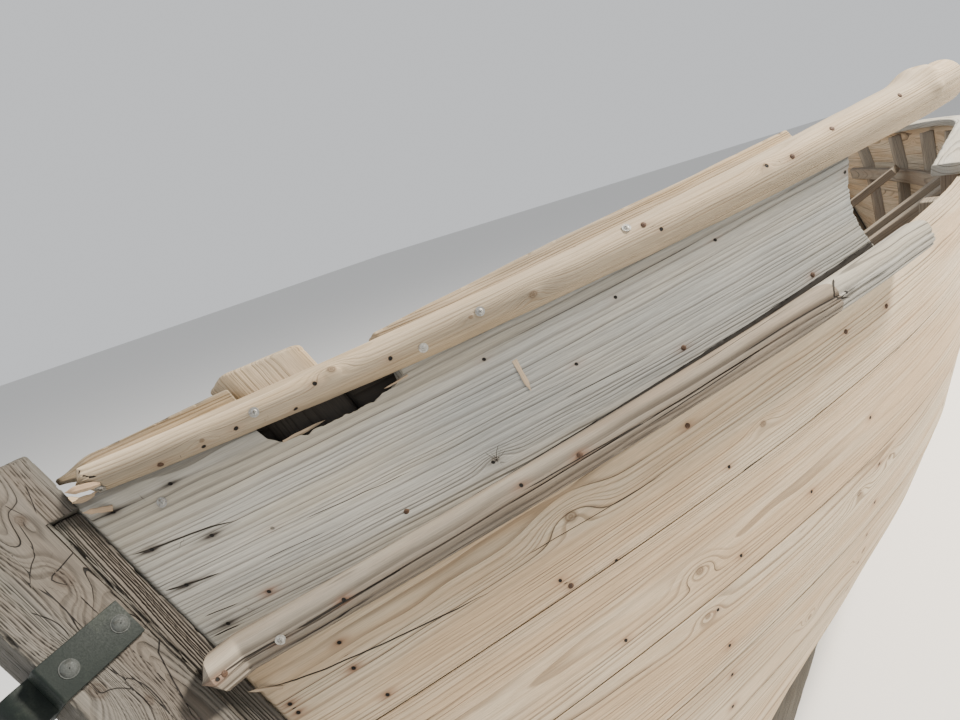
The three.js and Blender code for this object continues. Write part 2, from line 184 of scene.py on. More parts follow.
HEEL = min(math.atan2(seam(k, MIDDLE)[1], seam(k, MIDDLE)[0] - KEEL_HALF) for k in range(1, SHEER))
HEELED = np.array([
    [1, 0, 0],
    [0, math.cos(HEEL), math.sin(HEEL)],
    [0, -math.sin(HEEL), math.cos(HEEL)],
])
keel_low = np.array(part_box("keel")[0])
keel_section = np.array([[0, y, z] for y in (-KEEL_HALF, KEEL_HALF) for z in (0, KEEL_DEPTH)]) @ HEELED.T
SHIFT = keel_low - np.array([stern_back - KEEL_HEEL, *keel_section.min(0)[1:]])


def to_row(points):
    return np.asarray(points) @ HEELED.T + SHIFT


def to_hull(points):
    return (np.asarray(points) - SHIFT) @ HEELED


def hull_box(node):
    """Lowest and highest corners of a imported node, in the hull's own frame."""
    corners = np.array([vertex.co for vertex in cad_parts[node].data.vertices])
    corners = to_hull(corners)
    return corners.min(0), corners.max(0)


print("heel:", round(math.degrees(HEEL), 2), "degrees; shift:", SHIFT.round(4))

# %% [markdown]
# ## The camera
#
# The picture was taken by someone standing off the starboard quarter, looking forward and slightly down.
# The camera is placed in the hull's own frame and turned with the hull, so it sees the planks at the same
# angles. A focal length in pixels becomes a lens length by the sensor's width. `pixel` says where a point
# lands in the picture, so that a nail or a knot can be put on a piece where the picture shows it.

# %% Camera
PICTURE_WIDTH = 960
PICTURE_HEIGHT = 720
FOCAL_PIXELS = 716.7
SENSOR_WIDTH = 36.0
CAMERA_PLACE = np.array([-0.5896, -1.1720, 0.9093])
CAMERA_TURN = Vector((1.8238, -0.1690, -1.1447))

camera_axes = np.array(Matrix.Rotation(CAMERA_TURN.length, 3, CAMERA_TURN.normalized()))
camera_data = bpy.data.cameras.new("camera")
camera_data.sensor_width = SENSOR_WIDTH
camera_data.lens = FOCAL_PIXELS / PICTURE_WIDTH * SENSOR_WIDTH
camera_data.clip_start = 0.05
camera = linked("camera", camera_data)
camera.matrix_world = (Matrix.Translation(Vector(to_row(CAMERA_PLACE)))
                       @ Matrix((HEELED @ camera_axes).tolist()).to_4x4())
bpy.context.scene.camera = camera


def pixel(points):
    """Where points of the hull's own frame land in the picture."""
    seen = (np.asarray(points) - CAMERA_PLACE) @ camera_axes
    across = PICTURE_WIDTH / 2 - FOCAL_PIXELS * seen[..., 0] / seen[..., 2]
    down = PICTURE_HEIGHT / 2 + FOCAL_PIXELS * seen[..., 1] / seen[..., 2]
    return np.stack([across, down], -1)


print("camera at", to_row(CAMERA_PLACE).round(3), "lens", round(camera_data.lens, 2), "mm")

# %% [markdown]
# ## Smooth noise for shapes
#
# Worn wood is never straight. A small noise function gives a smooth random value at any point, and the same
# value every time, so edges can be chipped and faces made uneven before the mesh is built. Doing it here
# rather than with a modifier lets the noise run along each board's own grain.

# %% Noise along the grain
def ripple(x, y=0.0, z=0.0, seed=0):
    """Smooth noise from -1 to 1 with a wavelength of 1 in each of its three ways."""
    points = np.stack(np.broadcast_arrays(x, y, z), -1).astype(float) + seed * np.array([17.17, 5.31, 9.77])
    cell = np.floor(points).astype(np.int64)
    part = points - cell
    ease = part * part * (3 - 2 * part)
    total = np.zeros(points.shape[:-1])
    for corner in np.ndindex(2, 2, 2):
        at = cell + np.array(corner)
        mixed = (at[..., 0] * 73856093) ^ (at[..., 1] * 19349663) ^ (at[..., 2] * 83492791)
        mixed = ((mixed ^ (mixed >> 13)) * 1274126177) & 0xFFFFFFFF
        mixed = ((mixed ^ (mixed >> 15)) * 2246822519) & 0xFFFFFFFF
        value = ((mixed ^ (mixed >> 16)) & 0xFFFF) / 32767.5 - 1
        total += np.where(corner, ease, 1 - ease).prod(-1) * value
    return total


def run_of(line):
    """Distance along a row of points."""
    return np.concatenate([[0], np.linalg.norm(np.diff(line, axis=0), axis=1).cumsum()])


def smooth(value, start=0.0, stop=1.0):
    share = np.clip((value - start) / (stop - start), 0, 1)
    return share * share * (3 - 2 * share)


# %% [markdown]
# ## Growth rings as numbers
#
# A board shows where the saw cut through the tree's rings. Each ring is a tube round the pith, so the
# distance of a point from the pith says which ring is there. That distance wanders along the board, and a
# knot pushes the rings aside. The wandering is worked out here and stored on the mesh as `bend`, and the
# finish adds it to the distance again. So the relief that the mesh gets and the rings that the finish draws
# are the same rings.

# %% The tree's rings in a board
SPACING = {"planking": 0.0052, "wash": 0.0066, "pole": 0.0036, "batten": 0.0058, "backbone": 0.0036,
           "inside": 0.0055, "spar": 0.005}
OWN_STEP = 0.37
# Each wave bunches and spreads the rings: its pace in rings, its pace in the board's own number, its size
RING_WAVES = [(0.9, 5.0, 0.35), (2.3, 9.0, 0.16)]
# Where in a ring's share the soft wood sets in, and where it ends at the hard line
SOFT_WOOD = (0.5, 0.85)
HARD_LINE = (0.93, 1.0)


def grain_bend(wood, own, wander, swirl, knots):
    """How far the rings are pushed outwards at each point of a board."""
    far, across, depth = (wood[..., i] for i in range(3))
    bend = 0.5 * wander * ripple(far / 0.8, across / 0.16, depth / 0.3 + own)
    bend = bend + swirl * ripple(far / 0.17, across / 0.06, own + 5)
    bend = bend + 0.4 * swirl * ripple(far / 0.06, across / 0.03, own)
    bend = bend + 0.0012 * ripple(far / 0.08, across / 0.02, own + 9)
    for at, height, size in knots:
        bend = bend + 1.8 * size * np.exp(-((far - at) / (5 * size))**2 - ((across - height) / (2 * size))**2)
    return bend


def ring_valley(wood, bend, pith, own, spacing):
    """1 in the washed-out wood between two rings and 0 on the hard ridge."""
    turns = (np.hypot(wood[..., 1] - pith[0], wood[..., 2] + pith[1]) + bend) / spacing
    bunched = turns
    for pace, own_pace, size in RING_WAVES:
        bunched = bunched + size * np.sin(pace * turns + own_pace * own)
    season = bunched - np.floor(bunched)
    return smooth(season, *SOFT_WOOD) * (1 - smooth(season, *HARD_LINE))


# %% [markdown]
# ## Marks where the picture shows them
#
# Nails, knots and cracks are stored as offsets: each point of a board knows how far it is from the nearest
# one, along and across the grain. The finish then draws it as sharply as it likes, however coarse the mesh
# is. Marks on the near side are given as pixels of the picture, and the nearest point of the board that can
# be seen there takes the mark.

# %% Nails, knots and cracks as offsets
NAIL_REACH = np.array([0.05, 0.022])
KNOT_REACH = np.array([0.14, 0.06])
SCAR_REACH = 0.02
SCAR_WOBBLE = 0.0007
FAR_OFF = 1.0


def place_marks(points, usable, wood, marks):
    """Turns (pixel across, pixel down, strength) into (along, across, strength) on the board."""
    spots = pixel(points)
    found = []
    for right, down, strength in marks:
        apart = np.where(usable, np.hypot(spots[..., 0] - right, spots[..., 1] - down), np.inf)
        at = np.unravel_index(apart.argmin(), apart.shape)
        found.append((wood[at][0], wood[at][1], strength))
    return found


def place_scars(points, usable, wood, scars):
    """Turns cracks, each a strength and a row of pixels, into rows of places on the board, corners cut."""
    found = []
    for strength, spots in scars:
        placed = place_marks(points, usable, wood, [(*spot, 0) for spot in spots])
        places = np.array([place[:2] for place in placed])
        cut = np.stack([0.75 * places[:-1] + 0.25 * places[1:], 0.25 * places[:-1] + 0.75 * places[1:]], 1)
        found.append((strength, np.concatenate([places[:1], cut.reshape(-1, 2)[1:-1], places[-1:]])))
    return found


def marks_near(wood, usable, marks, reach):
    """Offsets to the nearest mark as (along, across, strength), fading where two marks are equally near."""
    found = np.zeros(wood.shape)
    found[..., :2] = FAR_OFF
    if not marks:
        return found
    marks = np.array(marks)
    offsets = wood[None, ..., :2] - marks[:, :2].reshape(len(marks), *[1] * (wood.ndim - 1), 2)
    apart = ((offsets / reach)**2).sum(-1)
    order = apart.argsort(0)
    nearest = np.take_along_axis(apart, order[:1], 0)[0]
    second = np.take_along_axis(apart, order[1:2], 0)[0] if len(marks) > 1 else nearest + 1
    strength = marks[order[0], 2] * np.clip((second - nearest) / 0.2, 0, 1)
    offset = np.take_along_axis(offsets, order[:1, ..., None], 0)[0]
    close = usable & (nearest < 1)
    found[close] = np.concatenate([offset, strength[..., None]], -1)[close]
    return found


def scars_near(wood, usable, scars):
    """Signed distance to the nearest crack and its strength there, which fades towards both of its ends."""
    found = np.zeros(wood.shape)
    found[..., 0] = FAR_OFF
    best = np.full(wood.shape[:-1], SCAR_REACH)
    far, across = wood[..., 0], wood[..., 1]
    wobble = SCAR_WOBBLE * ripple(far / 0.03, across / 0.03, 4)
    for strength, spots in scars:
        lengths = run_of(spots)
        for start, stop, before in zip(spots[:-1], spots[1:], lengths[:-1]):
            span = np.linalg.norm(stop - start)
            way = (stop - start) / max(span, 1e-6)
            offset = wood[..., :2] - start
            done = np.clip(offset @ way, 0, span)
            left = np.sign(offset @ np.array([-way[1], way[0]]))
            off = np.linalg.norm(offset - done[..., None] * way, axis=-1) * left + wobble
            share = (before + done) / lengths[-1]
            taper = smooth(share, 0, 0.15) * (1 - smooth(share, 0.75, 1.0)) * strength
            closer = usable & (abs(off) < best)
            best[closer] = abs(off)[closer]
            found[closer] = np.stack([off, taper, 0 * off], -1)[closer]
    return found


# %% [markdown]
# ## Sawn timber
#
# Planks, frames, posts and thwarts are all sawn timber: a rectangle with worn corners that follows some
# line. One loft makes them all. It takes a function for the piece's place, and a loop of points round the
# section. Each point also stores its place in the board, along, across and through the grain, as the
# attribute `wood`. The finish reads that attribute, so the growth rings run through the solid and show as
# end grain on its ends.

# %% The section's loop and the loft
def section_loop(counts, radius, arc=3):
    """Points round a rectangle with round corners: shares of its two ways, insets and inward directions."""
    corners = [(0, 0), (1, 0), (1, 1), (0, 1)]
    inwards = [(0, 1), (-1, 0), (0, -1), (1, 0)]
    share, inset, inward = [], [], []
    for i, corner in enumerate(corners):
        middle = 1 - 2 * np.array(corner)
        for turn in np.linspace(0, math.pi / 2, arc + 1):
            way = np.array([math.cos(turn), math.sin(turn)])
            if i % 2:
                way = way[::-1]
            share.append(np.array(corner, float))
            inset.append(middle * radius * (1 - way))
            inward.append(middle * way)
        following = np.array(corners[(i + 1) % 4], float)
        side = np.array(inwards[i], float)
        along_side = following - share[-1]
        for part in np.linspace(0, 1, counts[i % 2] + 2)[1:-1]:
            share.append(np.array(corner, float) + along_side * part)
            inset.append(along_side * radius * (1 - 2 * part))
            inward.append(side)
    return np.array(share), np.array(inset), np.array(inward)


def store(mesh, label, values):
    """Stores a value or a vector for each point of a mesh."""
    single = values.ndim == 1
    attribute = mesh.attributes.new(label, "FLOAT" if single else "FLOAT_VECTOR", "POINT")
    attribute.data.foreach_set("value" if single else "vector", values.astype(np.float32).ravel())


def mesh_object(name, points, faces, attributes, sharp=38):
    """A mesh from hull points. Its faces are turned outwards, and its attributes are stored on its points."""
    mesh = bpy.data.meshes.new(name)
    mesh.from_pydata(to_row(points).tolist(), [], faces)
    for label, values in attributes.items():
        store(mesh, label, values)
    mesh.update()
    mesh.calc_loop_triangles()
    corners = np.array([t.vertices for t in mesh.loop_triangles])
    a, b, c = (points[corners[:, i]] for i in range(3))
    if (a * np.cross(b, c)).sum() < 0:
        mesh.flip_normals()
    mesh.shade_smooth()
    mesh.set_sharp_from_angle(angle=math.radians(sharp))
    return linked(name, mesh)


def ring_faces(rows, around):
    """Faces of a closed tube of rings, with a face on each end."""
    i, j = np.meshgrid(np.arange(rows - 1), np.arange(around), indexing="ij")
    following = (j + 1) % around
    quads = np.stack([i * around + j, i * around + following,
                      (i + 1) * around + following, (i + 1) * around + j], -1).reshape(-1, 4).tolist()
    first = list(range(around))[::-1]
    last = [(rows - 1) * around + n for n in range(around)]
    return quads + [first, last]


def board_mesh(name, points, wood, pith, bend, shade, nail, knot, scar):
    """The mesh of a row of rings, with all that its finish reads stored on its points."""
    stored = {"wood": wood, "pith": np.broadcast_to(pith, wood.shape), "nail": nail, "knot": knot,
              "scar": scar}
    attributes = {label: values.reshape(-1, 3) for label, values in stored.items()}
    attributes.update(bend=bend.ravel(), shade=np.clip(shade, 0, 1).ravel())
    return mesh_object(name, points.reshape(-1, 3), ring_faces(*points.shape[:2]), attributes)


def with_ends(stations, length, radius):
    """Adds stations close to both ends, where the loft rounds them off."""
    start, stop = stations[0], stations[-1]
    offsets = radius * np.array([0.08, 0.3, 0.6, 1.0]) * (stop - start) / length
    inner = [t for t in stations if start + offsets[-1] < t < stop - offsets[-1]]
    return np.array([start, *(start + offsets), *inner, *(stop - offsets[::-1]), stop])


EDGE_DIRT = 0.006


def timber(name, place, stations, sizes, loop, pith=(0.0, 0.06), seed=0, end_radius=0.002, wear=0.0006,
           chips=0.0015, waves=(0.25, 0.03), shape=None, stain=None, nails=(), knots=(), seen_nails=(),
           seen_knots=(), scars=(), spacing=SPACING["inside"], wander=0.05, swirl=0.0, relief=0.0, dirt=0.35):
    """Lofts a worn board. place(t, s, d) gives hull points, and sizes(t) its width and thickness there."""
    t = with_ends(stations, run_of(place(stations, 0.5 + 0 * stations, 0.5 + 0 * stations))[-1], end_radius)
    length = run_of(place(t, 0.5 + 0 * t, 0.5 + 0 * t))
    share, inset, inward = loop
    width, thickness = (np.broadcast_to(size, t.shape)[:, None] for size in sizes(t))
    edge = np.minimum(length, length[-1] - length)[:, None]
    closing = end_radius - np.sqrt(np.maximum(end_radius**2 - np.maximum(end_radius - edge, 0)**2, 0))
    far = np.broadcast_to(length[:, None], (len(t), len(share)))
    t_grid = np.broadcast_to(t[:, None], far.shape)
    lies = share * np.stack([width, thickness], -1)
    cell = [far / waves[0], lies[..., 0] / waves[1], lies[..., 1] / waves[1]]
    uneven = wear * (ripple(*cell, seed) + 0.5 * ripple(*(2.3 * c for c in cell), seed + 1))
    corner = abs(inward[:, 0] * inward[:, 1]) * 2
    chipped = np.maximum(ripple(9 * cell[0], cell[1], cell[2], seed + 2) - 0.25, 0) * chips * 2 * corner

    def shares(inwards):
        s = share[:, 0] + (inset[:, 0] + inward[:, 0] * inwards) / width
        d = share[:, 1] + (inset[:, 1] + inward[:, 1] * inwards) / thickness
        return shape(t_grid, s, d) if shape else (t_grid, s, d)

    own = seed * OWN_STEP
    at_t, s, d = shares(closing + uneven + chipped)
    points = place(at_t, s, d)
    wood = np.stack([far, (s - 0.5) * width, d * thickness], -1)
    outer = np.broadcast_to(share[:, 1] < 0.5, s.shape)
    knots = list(knots) + place_marks(points, outer, wood, seen_knots)
    nails = list(nails) + place_marks(points, outer, wood, seen_nails)
    cracks = place_scars(points, outer, wood, scars)
    bend = grain_bend(wood, own, wander, swirl, knots)
    if relief:
        valley = ring_valley(wood, bend, pith, own, spacing)
        points = place(*shares(closing + uneven + chipped + relief * valley))
    worn_edge = np.minimum(np.minimum(s, 1 - s) * width, far * 0 + edge)
    patches = smooth(ripple(far / 0.3, lies[..., 0] / 0.05, 3, seed), 0.1, 0.9)
    shade = dirt * (np.exp(-worn_edge / EDGE_DIRT) + 0.6 * patches)
    if stain:
        shade = shade + stain(points) * (0.8 + 0.2 * ripple(far / 0.1, lies[..., 0] / 0.02, 5, seed))
    return board_mesh(name, points, wood, [*pith, own], bend, shade,
                      marks_near(wood, outer, nails, NAIL_REACH),
                      marks_near(wood, outer, knots, KNOT_REACH), scars_near(wood, outer, cracks))


# %% [markdown]
# ## Finishes
#
# Shader nodes are easier to read when a few helpers place and join them. `add` makes a node and fills its
# sockets, either with numbers or with links from other nodes.

# %% Node helpers
def add(tree, kind, feeds=None, **settings):
    node = tree.nodes.new(kind)
    for label, value in settings.items():
        setattr(node, label, value)
    for key, value in (feeds or {}).items():
        socket = node.inputs[key]
        if isinstance(value, bpy.types.NodeSocket):
            tree.links.new(value, socket)
        else:
            socket.default_value = value
    return node


def reckon(tree, operation, *values):
    return add(tree, "ShaderNodeMath", dict(enumerate(values)), operation=operation).outputs[0]


def spread(tree, value, low, high, start=0.0, stop=1.0):
    feeds = {0: value, 1: low, 2: high, 3: start, 4: stop}
    return add(tree, "ShaderNodeMapRange", feeds, interpolation_type="SMOOTHSTEP").outputs[0]


def blend(tree, factor, first, second, way="MIX"):
    """Mixes two colours, each a link or three linear values."""
    first, second = ((*colour, 1.0) if isinstance(colour, tuple) else colour for colour in (first, second))
    node = add(tree, "ShaderNodeMix", {0: factor, 6: first, 7: second}, data_type="RGBA", blend_type=way)
    return node.outputs[2]


def noise(tree, vector, scale=1.0, detail=2.0, roughness=0.5, distortion=0.0):
    feeds = {"Vector": vector, "Scale": scale, "Detail": detail, "Roughness": roughness,
             "Distortion": distortion}
    return add(tree, "ShaderNodeTexNoise", feeds).outputs[0]


def vector(tree, x, y, z):
    return add(tree, "ShaderNodeCombineXYZ", {0: x, 1: y, 2: z}).outputs[0]


def parts(tree, value):
    return add(tree, "ShaderNodeSeparateXYZ", {0: value}).outputs


def sums(tree):
    """Short ways to write a product, a sum, and the sum of two squares in one tree."""
    def times(*values):
        return reduce(lambda first, second: reckon(tree, "MULTIPLY", first, second), values)

    def plus(*values):
        return reduce(lambda first, second: reckon(tree, "ADD", first, second), values)

    def squares(x, y):
        return plus(reckon(tree, "POWER", x, 2.0), reckon(tree, "POWER", y, 2.0))

    return times, plus, squares


def shader_group(name, inputs, outputs):
    tree = bpy.data.node_groups.new(name, "ShaderNodeTree")
    for label, kind, default in inputs:
        socket = tree.interface.new_socket(label, in_out="INPUT", socket_type=kind)
        socket.default_value = default
    for label in outputs:
        tree.interface.new_socket(label, in_out="OUTPUT", socket_type="NodeSocketFloat")
    return tree, tree.nodes.new("NodeGroupInput").outputs, tree.nodes.new("NodeGroupOutput").inputs


# %% [markdown]
# ### The same rings as colour
#
# The group below works out the same rings as `ring_valley` did, from the stored place in the board. It also
# puts out fine fibres, drying cracks that follow a ring's edge, broad streaks of tone and knots, as plain
# masks.

# %% Grain group
VECTOR, FLOAT = "NodeSocketVector", "NodeSocketFloat"
grain, given, result = shader_group(
    "board grain",
    [("Wood", VECTOR, (0, 0, 0)), ("Pith", VECTOR, (0, 0.06, 0)), ("Knot", VECTOR, (1, 1, 0)),
     ("Bend", FLOAT, 0.0), ("Spacing", FLOAT, 0.006), ("Cracks", FLOAT, 0.5)],
    ["Rings", "Fibre", "Crack", "Tone", "Knot", "Height"])
length, across, depth = parts(grain, given["Wood"])
off_centre, pith_depth, own = parts(grain, given["Pith"])
knot_along, knot_across, knot_size = parts(grain, given["Knot"])
times, plus, squares = sums(grain)


def wave(value, pace, own_pace, size):
    return times(reckon(grain, "SINE", plus(times(value, pace), times(own, own_pace))), size)


def streaks(pace, cross_pace, detail, roughness=0.5):
    """Noise drawn out along the grain."""
    place = vector(grain, times(length, pace), times(across, cross_pace), times(depth, cross_pace))
    return noise(grain, place, detail=detail, roughness=roughness)


radius = reckon(grain, "SQRT",
                squares(reckon(grain, "SUBTRACT", across, off_centre), plus(depth, pith_depth)))
turns = reckon(grain, "DIVIDE", plus(radius, given["Bend"]), given["Spacing"])
turns = plus(turns, *(wave(turns, *ring_wave) for ring_wave in RING_WAVES))
season = reckon(grain, "FRACT", turns)
year = reckon(grain, "FLOOR", turns)
hardness = noise(grain, vector(grain, times(length, 2.5), times(year, 7.3), own), detail=1.0)
rings = times(spread(grain, season, *SOFT_WOOD), spread(grain, season, *HARD_LINE[::-1]),
              spread(grain, hardness, 0.28, 0.68, 0.2, 1.0))
fibre = plus(times(streaks(11.0, 480.0, 4.0, 0.68), 0.7), times(streaks(45.0, 1400.0, 2.0), 0.3))
crack_edge = reckon(grain, "ABSOLUTE", reckon(grain, "SUBTRACT", season, HARD_LINE[0]))
crack_place = vector(grain, times(length, 2.6), times(year, 3.7), plus(own, 8.0))
crack_patch = noise(grain, crack_place, detail=0.0)
crack = times(spread(grain, crack_edge, 0.07, 0.03), spread(grain, crack_patch, 0.64, 0.7), given["Cracks"])
tone = noise(grain, vector(grain, times(length, 1.7), times(across, 18.0), own), detail=3.0, roughness=0.6)
knot_apart = reckon(grain, "SQRT", squares(times(knot_along, 0.75), knot_across))
knot_share = reckon(grain, "DIVIDE", knot_apart, reckon(grain, "MAXIMUM", knot_size, 0.0001))
knot_heart = spread(grain, knot_share, 1.0, 0.55)
knot_rings = reckon(grain, "ABSOLUTE", reckon(grain, "SINE", times(knot_share, 9.0)))
height = reckon(grain, "SUBTRACT", plus(times(rings, -0.5), times(fibre, 0.5)), times(crack, 1.8))
height = plus(height, times(knot_heart, times(knot_rings, 0.25)))
knot = times(knot_heart, plus(times(knot_rings, 0.4), 0.6))
for label, value in (("Rings", rings), ("Fibre", fibre), ("Crack", crack), ("Tone", tone), ("Knot", knot),
                     ("Height", height)):
    grain.links.new(value, result[label])
print("grain group:", len(grain.nodes), "nodes")

# %% [markdown]
# ### Nails that have bled, and long cracks
#
# Iron nails rust, and the rain carries the rust along the grain. Each point of a board stores its offset to
# the nearest nail, so a dark hole with a brown halo is two sizes of ellipse round that offset. A mark of
# negative strength is an old black stain instead. A crack is a thin line where the stored distance to it is
# near zero.

# %% Marks group
SCAR_WIDTH = 0.0016
marks, given, result = shader_group(
    "nail and crack marks",
    [("Nail", VECTOR, (1, 1, 0)), ("Scar", VECTOR, (1, 0, 0)), ("Fibre", FLOAT, 0.5),
     ("Hole radius", FLOAT, 0.003)],
    ["Hole", "Rust", "Dark", "Scar"])
nail_along, nail_across, nail_strength = parts(marks, given["Nail"])
scar_off, scar_strength, _ = parts(marks, given["Scar"])
times, plus, squares = sums(marks)


def patch(reach_along, reach_across):
    """1 at a nail, fading to 0 outside an ellipse round it."""
    apart = squares(reckon(marks, "DIVIDE", nail_along, reach_along),
                    reckon(marks, "DIVIDE", nail_across, reach_across))
    return reckon(marks, "EXPONENT", times(apart, -1.0))


rusty = reckon(marks, "MAXIMUM", nail_strength, 0.0)
black = reckon(marks, "MAXIMUM", times(nail_strength, -1.0), 0.0)
from_nail = reckon(marks, "SQRT", squares(nail_along, nail_across))
hole = times(spread(marks, reckon(marks, "DIVIDE", from_nail, given["Hole radius"]), 1.15, 0.75),
             spread(marks, reckon(marks, "ABSOLUTE", nail_strength), 0.1, 0.2))
streaky = spread(marks, given["Fibre"], 0.35, 0.6, 0.4, 1.0)
rust = times(patch(0.016, 0.0072), rusty, streaky)
dark = plus(times(patch(0.013, 0.0065), black), times(patch(0.035, 0.0022), black, streaky),
            times(patch(0.0045, 0.0032), rusty))
scar_width = reckon(marks, "MAXIMUM", times(scar_strength, SCAR_WIDTH), 0.00002)
scar_share = reckon(marks, "DIVIDE", reckon(marks, "ABSOLUTE", scar_off), scar_width)
scar = times(spread(marks, scar_share, 1.3, 0.5), spread(marks, scar_strength, 0.02, 0.15))
for label, value in (("Hole", hole), ("Rust", rust), ("Dark", dark), ("Scar", scar)):
    marks.links.new(value, result[label])
print("marks group:", len(marks.nodes), "nodes")

# %% [markdown]
# ### One recipe for every weathered timber
#
# All the timbers share the same make-up: a bleached ridge colour, a dirtier colour in the washed-out
# valleys, a warm colour where the wood is fresher, grey dirt along edges, which on the poles' undersides is
# partly painted shade, and dark cracks. What differs is how much of each. Colours here are linear values, as
# shaders read them.

# %% Weathered timber materials
RUST = (0.23, 0.095, 0.045)
SOOT = (0.035, 0.026, 0.02)
HOLE_BLACK = (0.010, 0.008, 0.006)


def blank_finish(name):
    material = bpy.data.materials.new(name)
    material.use_nodes = True
    return material, material.node_tree, material.node_tree.nodes["Principled BSDF"]


def feed_surface(tree, surface, colour, rough, gloss, height, deep):
    """Joins a colour, a roughness and a relief of a given depth to the surface."""
    surface.inputs["Specular IOR Level"].default_value = gloss
    bump = add(tree, "ShaderNodeBump", {"Height": height, "Distance": deep, "Strength": 1.0}).outputs[0]
    for label, value in (("Base Color", colour), ("Roughness", rough), ("Normal", bump)):
        tree.links.new(value, surface.inputs[label])


def weathered(name, ridge, valley, warm, dirt, crack_colour=(0.03, 0.024, 0.018), spacing=0.0055, cracks=0.6,
              contrast=0.6, relief=0.0012, roughness=0.82, hole_radius=0.003, knot=(0.15, 0.095, 0.055)):
    material, tree, surface = blank_finish(name)

    def stored(label, output="Vector"):
        return add(tree, "ShaderNodeAttribute", attribute_name=label).outputs[output]

    times, plus, _ = sums(tree)
    board = add(tree, "ShaderNodeGroup", {
        "Wood": stored("wood"), "Pith": stored("pith"), "Knot": stored("knot"), "Bend": stored("bend", "Fac"),
        "Spacing": spacing, "Cracks": cracks}, node_tree=grain).outputs
    iron = add(tree, "ShaderNodeGroup", {
        "Nail": stored("nail"), "Scar": stored("scar"), "Fibre": board["Fibre"], "Hole radius": hole_radius},
        node_tree=marks).outputs
    colour = blend(tree, spread(tree, board["Tone"], 0.36, 0.66), ridge, warm)
    # The stored darkening mixes in the dirt colour: dirt along edges, and painted shade on the poles'
    # undersides.
    colour = blend(tree, stored("shade", "Fac"), colour, dirt)
    colour = blend(tree, times(board["Rings"], contrast), colour, valley)
    fibres = spread(tree, board["Fibre"], 0.28, 0.72, 0.74, 1.14)
    colour = blend(tree, 1.0, colour, vector(tree, fibres, fibres, fibres), "MULTIPLY")
    for mask, share, over in ((board["Knot"], 0.75, knot), (iron["Rust"], 0.9, RUST),
                              (iron["Dark"], 0.85, SOOT), (board["Crack"], 1.0, crack_colour),
                              (iron["Scar"], 1.0, crack_colour), (iron["Hole"], 1.0, HOLE_BLACK)):
        colour = blend(tree, times(mask, share), colour, over)
    rough = spread(tree, board["Rings"], 0.0, 1.0, roughness - 0.06, roughness + 0.1)
    sunk = plus(board["Height"], times(iron["Hole"], -2.0), times(iron["Scar"], -2.0))
    feed_surface(tree, surface, colour, rough, 0.3, sunk, relief)
    return material


PLANKING = weathered("bleached planking", (0.66, 0.54, 0.385), (0.24, 0.165, 0.10), (0.58, 0.42, 0.26),
                     (0.28, 0.235, 0.175), spacing=SPACING["planking"], contrast=0.72, relief=0.0012)
WASH = weathered("silver wash strake", (0.46, 0.435, 0.38), (0.13, 0.115, 0.095), (0.43, 0.385, 0.305),
                 (0.29, 0.295, 0.28), spacing=SPACING["wash"], contrast=0.58, relief=0.0013, cracks=0.5,
                 knot=(0.13, 0.105, 0.08))
# The dirt colours of both pole finishes also paint the shade on the poles' undersides.
POLE = weathered("peeled pole", (0.61, 0.485, 0.335), (0.26, 0.18, 0.105), (0.56, 0.41, 0.24),
                 (0.24, 0.205, 0.155), spacing=SPACING["pole"], cracks=0.25, contrast=0.55, relief=0.0011,
                 hole_radius=0.0035)
BATTEN = weathered("grooved batten", (0.33, 0.285, 0.225), (0.075, 0.058, 0.043), (0.29, 0.225, 0.16),
                   (0.12, 0.10, 0.08), spacing=SPACING["batten"], cracks=1.0, contrast=0.8, relief=0.0015)
# The posts' colours are darker than their wood, partly painted shade: they stand in shade.
BACKBONE = weathered("dark posts with painted shade", (0.15, 0.137, 0.118), (0.05, 0.043, 0.036), (0.125, 0.105, 0.085),
                     (0.062, 0.06, 0.048), spacing=SPACING["backbone"], cracks=1.0, contrast=0.5,
                     relief=0.0018, crack_colour=(0.014, 0.012, 0.010), knot=(0.07, 0.053, 0.04))
INSIDE = weathered("dry inside timber", (0.34, 0.29, 0.22), (0.14, 0.105, 0.075), (0.29, 0.22, 0.155),
                   (0.15, 0.125, 0.095), spacing=SPACING["inside"], cracks=0.8, contrast=0.6)
# Painted shade: near-black wood, put where the boat lies in shade.
SHADE_BLACK = weathered("painted shade black", (0.04, 0.034, 0.028), (0.02, 0.016, 0.013), (0.034, 0.027, 0.021),
                 (0.018, 0.015, 0.012), spacing=SPACING["inside"])
SPAR = weathered("oiled spar", (0.38, 0.27, 0.165), (0.19, 0.12, 0.07), (0.32, 0.205, 0.115),
                 (0.19, 0.145, 0.10), spacing=SPACING["spar"], cracks=0.8, contrast=0.4, relief=0.0008,
                 roughness=0.62)


# %% [markdown]
# ### Iron and steel
#
# The strap is blackened iron with a green cast where the paint has worn thin, and the screws are newer
# steel. A plain noise on the piece's own coordinates wears them in patches, and a finer one roughens them.

# %% Metal materials
def worn_metal(name, skin_colour, worn_colour, metal, roughness, patch=26.0, pits=0.0004, gloss=0.5):
    material, tree, surface = blank_finish(name)
    place = add(tree, "ShaderNodeTexCoord").outputs["Object"]
    patches = noise(tree, place, scale=patch, detail=5.0, roughness=0.65)
    worn = spread(tree, patches, 0.5, 0.68)
    fine = noise(tree, place, scale=420.0, detail=3.0, roughness=0.7)
    colour = blend(tree, worn, skin_colour, worn_colour)
    specks = spread(tree, fine, 0.35, 0.75, 0.0, 0.35)
    colour = blend(tree, specks, colour, tuple(0.5 * value for value in skin_colour))
    rough = spread(tree, fine, 0.3, 0.7, roughness - 0.1, roughness + 0.14)
    surface.inputs["Metallic"].default_value = metal
    height = reckon(tree, "ADD", fine, reckon(tree, "MULTIPLY", patches, 1.5))
    feed_surface(tree, surface, colour, rough, gloss, height, pits)
    return material


